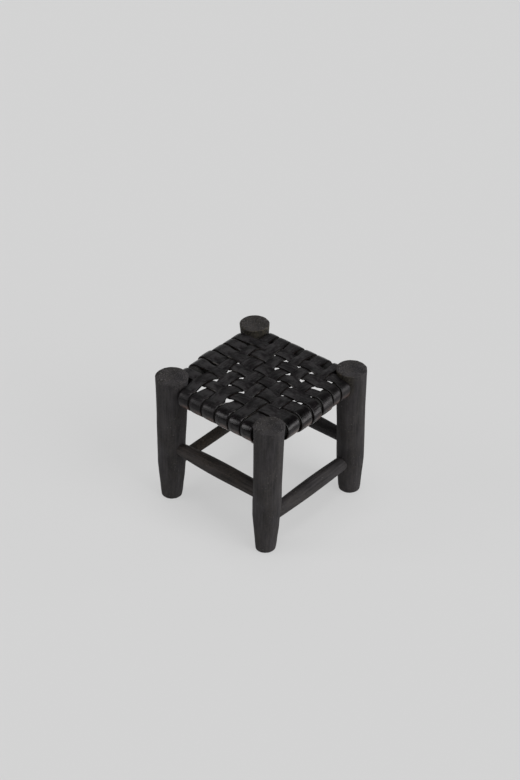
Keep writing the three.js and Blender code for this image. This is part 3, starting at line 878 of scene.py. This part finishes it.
# %% [markdown]
# ## The weave
#
# Each strap has its own slightly crooked run, measured at nine places across the seat, and its own width.
# In a plain weave every strap goes over one neighbour and under the next. Leather is stiff, so it does not
# step up and down: where one strap crosses over another, the upper one bends down along its length while
# its edges are pushed up by the rising ends of the lower one. Both surfaces are the same shallow saddle,
# half a thickness apart, and the saddles of all crossings join into one wavy sheet.

# %% Strap sizes
# From the middle of the seat to the axis of a rail and to the outer edge of the straps
HALF_SPACING = 116 * MM
SEAT_HALF = 87 * MM
# The least opening between two neighbours in the seat and on a rail
STRAP_SLOT = 0.5 * MM
STRAP_SEAM = 2.6 * MM
# The air between two pieces that touch in the real stool
CLEARANCE = 0.3 * MM
STRAP_THICKNESS = 2.2 * MM
WRAP_ANGLE = math.radians(215)

# Where along a strap its two edges were measured
STATIONS = np.array([-1.05, -0.95, -0.8, -0.4, 0, 0.4, 0.8, 0.95, 1.05]) * HALF_SPACING
# The two edges of each strap at the stations, in mm from the middle of the seat
COLUMN_EDGES = [
    (
        [-85.5, -86.4, -88.0, -86.3, -84.5, -84.3, -84.2, -84.6, -84.8],
        [-62.2, -61.2, -63.9, -57.9, -64.2, -65.0, -63.0, -63.8, -64.3],
    ),
    (
        [-59.0, -59.0, -56.5, -54.4, -57.8, -55.8, -56.6, -59.4, -61.0],
        [-29.6, -30.3, -31.4, -29.2, -26.3, -26.8, -29.5, -33.0, -34.9],
    ),
    (
        [-31.8, -31.9, -31.9, -25.9, -19.8, -25.4, -28.4, -31.8, -33.6],
        [-0.4, 4.0, -4.8, 2.3, 3.5, -0.9, -5.7, -5.3, -4.7],
    ),
    (
        [2.6, -2.0, 7.6, 7.9, 6.6, 5.3, 6.0, 3.7, 1.9],
        [33.1, 33.0, 32.7, 29.6, 26.5, 28.1, 24.6, 25.6, 26.6],
    ),
    (
        [31.1, 32.1, 33.9, 33.7, 33.2, 34.1, 31.8, 30.5, 29.7],
        [59.3, 59.7, 60.4, 62.0, 58.4, 57.4, 56.3, 58.3, 59.3],
    ),
    (
        [62.0, 62.7, 64.1, 63.5, 72.2, 65.3, 73.6, 71.5, 69.3],
        [86.5, 87.3, 88.7, 89.1, 89.6, 90.4, 89.3, 89.5, 89.6],
    ),
]
ROW_EDGES = [
    (
        [63.5, 64.7, 66.8, 68.9, 71.7, 71.0, 69.4, 70.6, 66.8],
        [85.9, 87.0, 89.0, 91.8, 94.5, 95.2, 96.0, 93.8, 92.6],
    ),
    (
        [40.0, 39.9, 39.7, 40.4, 41.6, 43.6, 38.0, 42.7, 42.8],
        [62.0, 62.3, 63.2, 65.7, 66.3, 66.9, 66.4, 65.6, 63.0],
    ),
    (
        [10.6, 9.5, 7.7, 5.3, 6.2, 13.0, 7.0, 10.9, 12.0],
        [36.1, 35.4, 34.1, 33.6, 33.8, 35.9, 32.2, 33.2, 39.7],
    ),
    (
        [-22.3, -22.4, -22.1, -19.5, -18.4, -22.0, -21.1, -16.1, -16.2],
        [6.2, 6.9, 7.6, 6.8, 4.3, 8.0, 11.8, 7.2, 5.9],
    ),
    (
        [-51.9, -50.5, -49.1, -54.2, -55.0, -52.6, -50.7, -50.0, -49.6],
        [-24.0, -25.9, -29.2, -31.3, -26.6, -20.9, -19.7, -21.2, -20.0],
    ),
    (
        [-86.5, -87.2, -88.4, -91.6, -89.9, -87.8, -86.7, -86.0, -85.6],
        [-65.2, -64.1, -62.5, -66.0, -63.7, -59.5, -56.1, -54.3, -53.4],
    ),
]
STRAP_PITCH = 2 * SEAT_HALF / len(COLUMN_EDGES)

rail_middles = {name: rails[name][:, 1:4].mean(0) for name in rails if name.endswith("rail")}
rail_radii = {name: rails[name][:, 4:6].max() for name in rail_middles}
SEAT_CENTRE = np.mean(list(rail_middles.values()), axis=0)
rail_tops = [rail_middles[name][2] + rail_radii[name] for name in rail_middles]
WEAVE_HEIGHT = np.mean(rail_tops) + CLEARANCE + STRAP_THICKNESS / 2
print("seat centre in mm:", (SEAT_CENTRE / MM).round(2), "weave at", round(WEAVE_HEIGHT / MM, 2))


# %% Strap families
class Family:
    """The straps of one direction. A strap runs along one axis and has its place across on the other.

    The slack says how far each wrap hangs loose of its rail and the drift how far the wraps slant sideways
    on their way round, both in mm, at the low end and at the high end.
    """

    def __init__(self, name, axis, edges, order, low_rail, high_rail, slack, drift):
        self.name, self.axis, self.order, self.drift = name, axis, order, drift
        self.edges = np.array(edges) * MM
        self.places = self.edges.mean(1)
        self.rail_heights = {-1: rail_middles[low_rail][2], 1: rail_middles[high_rail][2]}
        self.rail_radii = {-1: rail_radii[low_rail], 1: rail_radii[high_rail]}
        self.slack = {-1: slack[0], 1: slack[1]}

    def is_over(self, number, other):
        """Whether this family's strap lies on top. The two families take turns like a chequerboard."""
        return (number + other) % 2 == (1 if self.axis == 1 else 0)

    def point(self, along, across, height):
        flat = (across, along) if self.axis == 1 else (along, across)
        return np.stack([*flat, height], -1) + np.array([SEAT_CENTRE[0], SEAT_CENTRE[1], 0])


def centre_at(places, along):
    """The place across of a strap's middle or edge, which swings smoothly from station to station."""
    along = np.clip(along, STATIONS[0], STATIONS[-1])
    last = np.clip(np.searchsorted(STATIONS, along), 1, len(STATIONS) - 1)
    blend = smooth(along, STATIONS[last - 1], STATIONS[last])
    return places[last - 1] * (1 - blend) + places[last] * blend


def leg_face(family, side, along):
    """The place across where the leg beside the outermost strap begins."""
    end = np.where(along < 0, -1, 1)
    face = np.zeros_like(along)
    for sign in (-1, 1):
        corner = (side, sign) if family.axis == 1 else (sign, side)
        name = {(-1, -1): "left", (1, -1): "front", (1, 1): "right", (-1, 1): "back"}[corner]
        rings = legs_rings[name]
        at_rail = [np.interp(family.rail_heights[sign], rings[:, 0], rings[:, i]) for i in (1, 2, 4, 5)]
        middle = np.array(at_rail[:2]) - SEAT_CENTRE[:2]
        along_middle, across_middle = middle[family.axis], middle[1 - family.axis]
        radius = max(at_rail[2:]) + CLEARANCE
        offset = np.minimum(np.abs(along - along_middle), radius)
        face = np.where(end == sign, across_middle - side * np.sqrt(radius**2 - offset**2), face)
    return face


def edge_at(family, number, side, along):
    """The place across of one edge. Crowded straps meet at a seam and the outermost clear the legs."""
    own_line = 0 if side < 0 else 1
    edge = centre_at(family.edges[number, own_line], along)
    neighbour = number + side * family.order
    if 0 <= neighbour < len(family.places):
        on_rail = smooth(np.abs(along), STATIONS[-2], STATIONS[-1])
        opening = STRAP_SLOT + (STRAP_SEAM - STRAP_SLOT) * on_rail
        seam = (edge + centre_at(family.edges[neighbour, 1 - own_line], along)) / 2 - side * opening / 2
    else:
        seam = leg_face(family, side, along)
    return np.maximum(edge, seam) if side < 0 else np.minimum(edge, seam)


# How far each wrap hangs loose of its rail, in mm, at the low ends and at the high ends
COLUMN_SLACK = ([0, 0, 0, 0.3, 0, 0], [0, 0, 0, 0, 0, 0])
ROW_SLACK = ([0, 0, 1.0, 3.4, 0, 0], [0, 0, 2.2, 3.8, 2.6, 0])
# Between which angles from the top a wrap drifts sideways, and from which angle it hangs loose at each end
DRIFT_REACH = (math.radians(45), math.radians(100))
SLACK_STARTS = {-1: 0, 1: math.radians(45)}

COLUMNS = Family("column", 1, COLUMN_EDGES, 1, "left_front_rail", "back_right_rail", COLUMN_SLACK, (1.5, 0))
ROWS = Family("row", 0, ROW_EDGES, -1, "left_back_rail", "front_right_rail", ROW_SLACK, (0, -3.0))

# %% The wavy sheet
LEVEL = (STRAP_THICKNESS + CLEARANCE) / 2
CURL_TURN = (0.38, 0.62)


def strap_index(family, along, across):
    """Which strap of a family lies at a point, as a number that is whole on a middle line."""
    lines = np.stack([centre_at(places, along) for places in family.places]) * family.order
    value = across * family.order
    last = len(lines) - 1
    index = np.zeros_like(value)
    for i in range(last):
        share = (value - lines[i]) / (lines[i + 1] - lines[i])
        low = -np.inf if i == 0 else 0
        high = np.inf if i == last - 1 else 1
        index = index + np.clip(share, low, high)
    return index


def seat_height(own, number, other, along, across):
    """The height of a strap's middle surface in the weave."""
    sideways = strap_index(own, along, across) - number
    index = strap_index(other, across, along)
    nearest = np.clip(index.round(), 0, len(other.places) - 1)
    onward = index - nearest
    level = np.where(own.is_over(number, nearest), 1, -1)
    turn_over = 1 - 2 * smooth(np.abs(onward), *CURL_TURN)
    curl = turn_over * (1 - np.cos(math.pi * sideways))
    return WEAVE_HEIGHT + LEVEL * level * (np.cos(math.pi * onward) + curl)


# %% [markdown]
# ## The path of a strap
#
# Seen from the side, a strap is one line: round the low rail, over and under across the seat, and round the
# high rail. The line is made in pieces, joined, smoothed where the straight run meets the weave, and
# sampled evenly. Every sample also carries what the sweep needs: its half width, which way is up, how much
# the strap tilts and curls, how far along the strap it is, how far round the rail, and how near to the
# edge of a strap that it dives under.

# %% Strap path
PATH_STEP = 1.5 * MM
CROSSING_ROUNDS = 6
# Points of the middle line over the weave, from there to the rail and round the rail
FLAT_POINTS = 160
LEAD_POINTS = 16
ARC_POINTS = 44
# How many pitches the weave goes on beyond the last crossing
FLAT_BEYOND = 0.3
SOFT_ROUNDS = 6
SOFT_HOLD = (0.2, 0.9)
SLACK_REACH = math.radians(60)


def wrap_radius(own, number, end, angle):
    """The distance of a strap's middle surface from the axis of its rail, at an angle from the top."""
    slack = own.slack[end][number] * MM * smooth(angle, SLACK_STARTS[end], SLACK_STARTS[end] + SLACK_REACH)
    return own.rail_radii[end] + CLEARANCE + STRAP_THICKNESS / 2 + slack


def crossing_place(own, number, other, other_number):
    """Where two crooked middle lines meet, found by going back and forth between them."""
    along = np.zeros(1)
    for _ in range(CROSSING_ROUNDS):
        along = centre_at(other.places[other_number], centre_at(own.places[number], along))
    return float(along[0])


def crossing_places(own, number, other):
    return [crossing_place(own, number, other, i) for i in range(len(other.places))]


def side_line(own, number, other):
    """A strap's middle line as rows of place along, height, share of the wrap, and angle from the top."""
    crossings = crossing_places(own, number, other)
    margin = FLAT_BEYOND * STRAP_PITCH
    along = np.linspace(min(crossings) - margin, max(crossings) + margin, FLAT_POINTS)
    height = seat_height(own, number, other, along, centre_at(own.places[number], along))
    none = np.zeros_like(along)
    parts = [np.column_stack([along, height, none, none])]
    for end in (-1, 1):
        start = parts[0][0] if end < 0 else parts[-1][-1]
        height = own.rail_heights[end]
        inward, upward = HALF_SPACING - end * start[0], start[1] - height
        tight = wrap_radius(own, number, end, 0)
        leave = math.acos(tight / math.hypot(inward, upward)) - math.atan2(inward, upward)
        angles = np.linspace(leave, WRAP_ANGLE, ARC_POINTS)
        radius = wrap_radius(own, number, end, angles)
        arc = np.column_stack([
            end * (HALF_SPACING + radius * np.sin(angles)),
            height + radius * np.cos(angles),
            np.ones_like(angles),
            angles,
        ])
        shares = np.linspace(0, 1, LEAD_POINTS)[1:-1, None]
        lead = start + (arc[0] - start) * shares
        lead[:, 2:] = 0
        part = np.concatenate([lead, arc])
        parts = [part[::-1], *parts] if end < 0 else [*parts, part]
    return np.concatenate(parts)


def resample(line, step):
    """The line in even steps: how far each sample is along it, and its numbers there."""
    run = np.concatenate([[0], np.cumsum(np.linalg.norm(np.diff(line[:, :2], axis=0), axis=1))])
    wanted = np.linspace(0, run[-1], int(run[-1] / step))
    return wanted, np.stack([np.interp(wanted, run, line[:, i]) for i in range(line.shape[1])], 1)


def soften(line, rounds, hold):
    """Averages each point with its neighbours, except where the strap is held on a rail."""
    for _ in range(rounds):
        middle = (line[:-2, :2] + 2 * line[1:-1, :2] + line[2:, :2]) / 4
        line[1:-1, :2] += (middle - line[1:-1, :2]) * (1 - hold[1:-1, None])
    return line


# %% Strap path with the sweep's numbers
# A hand-cut edge wavers by this many mm, over this many metres
EDGE_WAVE = 0.25
EDGE_WAVE_REACH = 0.02
# A strap lies flat again this many pitches beyond its last crossing
HELD_REACH = (0.4, 0.85)
# How far from the edge of a strap above the painted shade reaches
CONTACT_SHADE_REACH = (0.2 * MM, 2.6 * MM)


def contact_shade_at(own, number, other, along, centre):
    """How near each sample is to the edge of a strap that it dives under, from 0 to 1. The leather paints
    shade there.
    """
    crease = np.zeros_like(along)
    for i in range(len(other.places)):
        if not own.is_over(number, i):
            low, high = (edge_at(other, i, side, centre) for side in (-1, 1))
            outside = np.maximum(low - along, along - high)
            crease = np.maximum(crease, 1 - smooth(outside, *CONTACT_SHADE_REACH))
    return crease


def strap_path(own, number, other, seed):
    """The path of a strap as a mesh of points and edges, with the sweep's numbers on each point."""
    run, line = resample(side_line(own, number, other), PATH_STEP)
    line = soften(line, SOFT_ROUNDS, smooth(line[:, 2], *SOFT_HOLD))
    along, height, wrap, turned = line.T
    tangent = np.gradient(line[:, :2], axis=0)
    tangent /= np.linalg.norm(tangent, axis=1)[:, None]
    up = own.point(-tangent[:, 1], np.zeros_like(along), tangent[:, 0]) - own.point(0.0, 0.0, 0.0)
    random = np.random.default_rng(seed)
    wavy = wander(random, 2, EDGE_WAVE_REACH)(run) * EDGE_WAVE * MM * (1 - wrap)
    drift = np.where(along < 0, *own.drift) * MM * smooth(turned, *DRIFT_REACH)
    edges = np.stack([edge_at(own, number, side, along) for side in (-1, 1)]) + wavy + drift
    centre, half_width = edges.mean(0), (edges[1] - edges[0]) / 2
    crossings = crossing_places(own, number, other)
    beyond = np.maximum(min(crossings) - along, along - max(crossings)) / STRAP_PITCH
    held = (1 - smooth(beyond, *HELD_REACH)) * (1 - wrap)
    lifts = [seat_height(own, number, other, along, edge) for edge in (*edges, centre)]
    points = own.point(along, centre, height)
    mesh = bpy.data.meshes.new("strap path")
    mesh.from_pydata(points.tolist(), [(i, i + 1) for i in range(len(points) - 1)], [])
    for name, values in {
        "up": up,
        "half_width": half_width,
        "tilt": (lifts[1] - lifts[0]) / 2 * held,
        "curl": ((lifts[0] + lifts[1]) / 2 - lifts[2]) * held,
        "run": run,
        "wrap": wrap,
        "turned": turned,
        "crease": contact_shade_at(own, number, other, along, centre) * (1 - wrap),
    }.items():
        write_attribute(mesh, name, values)
    return mesh


# %% Strap profile
PROFILE_HALF = 12 * MM
TOP_ROUNDING = (2.0 * MM, 1.3 * MM)
BOTTOM_ROUNDING = (0.6 * MM, 0.5 * MM)
CROWN = 0.45 * MM
TOP_POINTS = 15
CORNER_POINTS = 6
BOTTOM_POINTS = 9


def strap_profile():
    """The outline of a cut strap: a thin bar, rounded more on the grain side than on the flesh side."""
    half = STRAP_THICKNESS / 2
    flat = PROFILE_HALF - TOP_ROUNDING[0]
    points = [(x, half) for x in np.linspace(-flat, flat, TOP_POINTS)]
    for number, (right, top) in enumerate([(1, 1), (1, -1), (-1, -1), (-1, 1)]):
        wide, high = TOP_ROUNDING if top > 0 else BOTTOM_ROUNDING
        edge = PROFILE_HALF - wide
        start = math.pi / 2 - number * math.pi / 2
        corner = [
            (right * edge + wide * math.cos(turn), top * (half - high) + high * math.sin(turn))
            for turn in np.linspace(start, start - math.pi / 2, CORNER_POINTS)
        ]
        points += corner[1:] if number == 0 else corner
        if number == 1:
            points += [(x, -half) for x in np.linspace(edge, -edge, BOTTOM_POINTS)[1:-1]]
    points = points[:-1]
    curve = bpy.data.curves.new("strap profile", "CURVE")
    curve.dimensions = "3D"
    spline = curve.splines.new("POLY")
    spline.points.add(len(points) - 1)
    spline.use_cyclic_u = True
    for point, (x, y) in zip(spline.points, points):
        lift = CROWN * (1 - (x / PROFILE_HALF) ** 2) if y > 0 else 0
        point.co = (x, y + lift, 0, 1)
    return add_object("strap profile", curve)


# %% [markdown]
# ## Sweeping a strap
#
# All twelve straps are made by one Geometry Nodes tree. It sweeps the profile along the path, and then puts
# every point where the path's own numbers say: sideways by the half width, and up by the thickness, by the
# tilt and by the curl, which grows with the square of the distance from the middle line. Last, it lifts the
# surface by a slow noise, because no hide is quite even.


# %% Strap sweep tree
def attribute(t, name, kind="FLOAT"):
    node = t.add("GeometryNodeInputNamedAttribute", {"Name": name}, data_type=kind).node
    return next(socket for socket in node.outputs if socket.enabled and socket.name == "Attribute")


def store(t, geometry, name, value, kind="FLOAT"):
    return t.add(
        "GeometryNodeStoreNamedAttribute",
        {"Geometry": geometry, "Name": name, "Value": value},
        data_type=kind,
        domain="POINT",
    )


GRAIN_SIDE = (-0.8 * MM, -0.3 * MM)
CUT_EDGE = (0.86, 0.97)


def strap_tree():
    tree, t, given = new_group("strap along a path", "GeometryNodeTree", [
        ("Path", "Geometry", None),
        ("Profile", "Object", None),
        ("Profile half width", "Float", PROFILE_HALF),
        ("Across", "Vector", (1.0, 0.0, 0.0)),
        ("Unevenness", "Float", 0.2 * MM),
        ("Unevenness size", "Float", 14 * MM),
        ("Dullness", "Float", 0.3),
        ("Seed", "Float", 0.0),
        ("Material", "Material", None),
    ], ("Strap", "Geometry"))
    position = t.add("GeometryNodeInputPosition")

    # Sweep the profile along the path. Each remembers its own places under a name
    profile = t.add("GeometryNodeObjectInfo", {"Object": given["Profile"]}, output="Geometry")
    profile = store(t, profile, "profile_at", position, "FLOAT_VECTOR")
    path = store(t, given["Path"], "path_at", position, "FLOAT_VECTOR")
    path = t.add("GeometryNodeMeshToCurve", {0: path})
    swept = t.add("GeometryNodeCurveToMesh", {"Curve": path, "Profile Curve": profile, "Fill Caps": True})

    # Put every point where the path's numbers say
    outline = t.add("ShaderNodeSeparateXYZ", {0: attribute(t, "profile_at", "FLOAT_VECTOR")}).node.outputs
    share = t.math("DIVIDE", outline["X"], given["Profile half width"])
    sideways = t.times(share, attribute(t, "half_width"))
    curl = t.times(t.times(share, share), attribute(t, "curl"))
    lift = t.plus(outline["Y"], t.plus(curl, t.times(share, attribute(t, "tilt"))))
    place = t.vector("ADD", attribute(t, "path_at", "FLOAT_VECTOR"), t.scaled(given["Across"], sideways))
    place = t.vector("ADD", place, t.scaled(attribute(t, "up", "FLOAT_VECTOR"), lift))
    solid = t.add("GeometryNodeSetPosition", {"Geometry": swept, "Position": place})

    # Leave the numbers that the leather reads
    on_hide = t.add("ShaderNodeCombineXYZ", {0: sideways, 1: outline["Y"], 2: attribute(t, "run")})
    solid = store(t, solid, "place", on_hide, "FLOAT_VECTOR")
    solid = store(t, solid, "grain_side", t.ramp(outline["Y"], *GRAIN_SIDE))
    solid = store(t, solid, "cut_edge", t.ramp(t.math("ABSOLUTE", share), *CUT_EDGE))
    solid = store(t, solid, "dullness", given["Dullness"])

    # Make the surface a little uneven
    size = t.math("DIVIDE", 1.0, given["Unevenness size"])
    spread = {"Vector": position, "W": given["Seed"], "Scale": size}
    bumps = t.add("ShaderNodeTexNoise", spread, noise_dimensions="4D")
    shift = t.times(t.minus(bumps, 0.5), given["Unevenness"])
    offset = t.scaled(t.add("GeometryNodeInputNormal"), shift)
    solid = t.add("GeometryNodeSetPosition", {"Geometry": solid, "Offset": offset})
    solid = t.add("GeometryNodeSetShadeSmooth", {"Geometry": solid})
    solid = t.add("GeometryNodeRealizeInstances", {"Geometry": solid})
    solid = t.add("GeometryNodeSetMaterial", {"Geometry": solid, "Material": given["Material"]})
    t.add("NodeGroupOutput", {0: solid})
    return tree


def run_tree(source, tree, **inputs):
    """Runs a Geometry Nodes tree on a mesh and returns the result as a plain mesh."""
    holder = add_object("holder", source)
    modifier = holder.modifiers.new("tree", "NODES")
    modifier.node_group = tree
    sockets = {item.name: item.identifier for item in tree.interface.items_tree if item.in_out == "INPUT"}
    for name, value in inputs.items():
        modifier[sockets[name.capitalize()]] = value
    made = bpy.data.meshes.new_from_object(holder.evaluated_get(bpy.context.evaluated_depsgraph_get()))
    bpy.data.objects.remove(holder)
    return made


def volume_of(mesh):
    """The volume inside a closed mesh, which is negative when its faces look inward."""
    corners = np.array([v.co for v in mesh.vertices])
    mesh.calc_loop_triangles()
    a, b, c = (corners[[t.vertices[i] for t in mesh.loop_triangles]] for i in range(3))
    return float((a * np.cross(b, c)).sum() / 6)


# %% Straps
# How dull each strap's finish is, from 0 for the shiniest part of the hide
COLUMN_DULLNESS = [0.75, 0.7, 0.45, 0.15, 0.1, 0.0]
ROW_DULLNESS = [0.7, 0.55, 0.4, 0.3, 0.1, 0.05]

profile = strap_profile()
STRAP_SWEEP = strap_tree()
for own, other, dullness in ((COLUMNS, ROWS, COLUMN_DULLNESS), (ROWS, COLUMNS, ROW_DULLNESS)):
    for number in range(len(own.places)):
        seed = 100 * own.axis + number
        mesh = run_tree(
            strap_path(own, number, other, seed),
            STRAP_SWEEP,
            profile=profile,
            across=(1.0, 0.0, 0.0) if own.axis == 1 else (0.0, 1.0, 0.0),
            seed=float(seed),
            dullness=float(dullness[number]),
            material=LEATHER,
        )
        if volume_of(mesh) < 0:
            mesh.flip_normals()
        name = f"{own.name}_strap_{number + 1}"
        mesh.name = f"{name}_leather"
        add_piece(f"{name}_leather", mesh, LEATHER, "strap_leather", name)
    print(own.name, "straps:", len(own.places), "with", len(mesh.polygons), "faces each")
bpy.data.objects.remove(profile)

# %% [markdown]
# ## Tacks
#
# One forged tack holds each end of a strap, under the rail. Twenty-four copies of one small shape are what
# instances are for: a second tree puts the tack on each point, turns it to face away from the rail, scales
# it a little at random, and then makes the copies real.

# %% Tack shape
# Radius and height in mm of each ring, from the tip of the pin to the top of the domed head
TACK_RINGS = [(0.9, -9.6), (0.9, 0), (3.1, 0), (3.2, 0.25), (2.7, 0.75), (1.7, 1.1), (0.7, 1.25)]
TACK_SIDES = 18
TACK_ROUGHNESS = 0.05
TACK_SEED = 7


def tack_mesh():
    """A forged tack. Only the rings of the head, which are wider than 1 mm, are uneven."""
    random = np.random.default_rng(TACK_SEED)
    turns = np.arange(TACK_SIDES) * 2 * math.pi / TACK_SIDES
    layers = []
    for radius, height in TACK_RINGS:
        rough = 1 + TACK_ROUGHNESS * random.uniform(-1, 1, TACK_SIDES) * (radius > 1)
        across = [wave(turns) * radius * rough for wave in (np.cos, np.sin)]
        layers.append(np.column_stack([*across, np.full(TACK_SIDES, height)]) * MM)
    layers = np.stack(layers)
    return ring_solid("tack", layers, 2, layers.mean(1))


def tack_tree():
    tree, t, given = new_group("tacks on points", "GeometryNodeTree", [
        ("Points", "Geometry", None),
        ("Tack", "Object", None),
        ("Size spread", "Float", 0.05),
        ("Seed", "Int", 3),
        ("Material", "Material", None),
    ], ("Tacks", "Geometry"))
    shape = t.add("GeometryNodeObjectInfo", {"Object": given["Tack"]}, output="Geometry")
    facing = attribute(t, "facing", "FLOAT_VECTOR")
    turned = t.add("FunctionNodeAlignRotationToVector", {"Vector": facing}, axis="Z")
    least = t.minus(1.0, given["Size spread"])
    size = t.add("FunctionNodeRandomValue", {"Min": least, "Max": 1.0, "Seed": given["Seed"]}, output=1)
    copies = t.add(
        "GeometryNodeInstanceOnPoints",
        {"Points": given["Points"], "Instance": shape, "Rotation": turned, "Scale": size},
    )
    real = t.add("GeometryNodeRealizeInstances", {"Geometry": copies})
    real = t.add("GeometryNodeSetMaterial", {"Geometry": real, "Material": given["Material"]})
    t.add("NodeGroupOutput", {0: real})
    return tree


# %% Tacks under the rails
# A tack sits an eighth of the wrap before the strap's end, with its head on the leather
TACK_ANGLE = WRAP_ANGLE * (1 - 1 / 8)
TACK_LIFT = STRAP_THICKNESS / 2 + CLEARANCE

spots, facings, tack_nodes = [], [], []
for own in (COLUMNS, ROWS):
    for number in range(len(own.places)):
        for end, word in ((-1, "low"), (1, "high")):
            across = centre_at(own.places[number], np.array([end * HALF_SPACING]))[0]
            out = np.array([end * math.sin(TACK_ANGLE), math.cos(TACK_ANGLE)])
            seat = out * (wrap_radius(own, number, end, TACK_ANGLE) + TACK_LIFT)
            seat += np.array([end * HALF_SPACING, own.rail_heights[end]])
            spots.append(own.point(seat[0], across, seat[1]))
            facings.append(own.point(out[0], 0.0, out[1]) - own.point(0.0, 0.0, 0.0))
            tack_nodes.append(f"{own.name}_tack_{number + 1}_{word}")
points = bpy.data.meshes.new("tack points")
points.from_pydata(np.array(spots).tolist(), [], [])
write_attribute(points, "facing", facings)
tack = add_object("tack", tack_mesh())
tacks = run_tree(points, tack_tree(), tack=tack, material=STEEL)
bpy.data.objects.remove(tack)
tacks.name = "strap_tacks"
add_piece("strap_tacks", tacks, STEEL, "tack_steel", *tack_nodes)
print("tacks:", len(tack_nodes), "with", len(tacks.polygons), "faces in all")

# %% [markdown]
# ## Closing
#
# The last cell measures the box of the visual model and prints it beside the box of the CAD model.

# %% Size and finish
visual_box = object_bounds()
boxes = {"cad": [list(corner) for corner in cad_box], "visual": [list(corner) for corner in visual_box]}
for name, corners in boxes.items():
    print(name, [[round(v / MM, 1) for v in corner] for corner in corners])
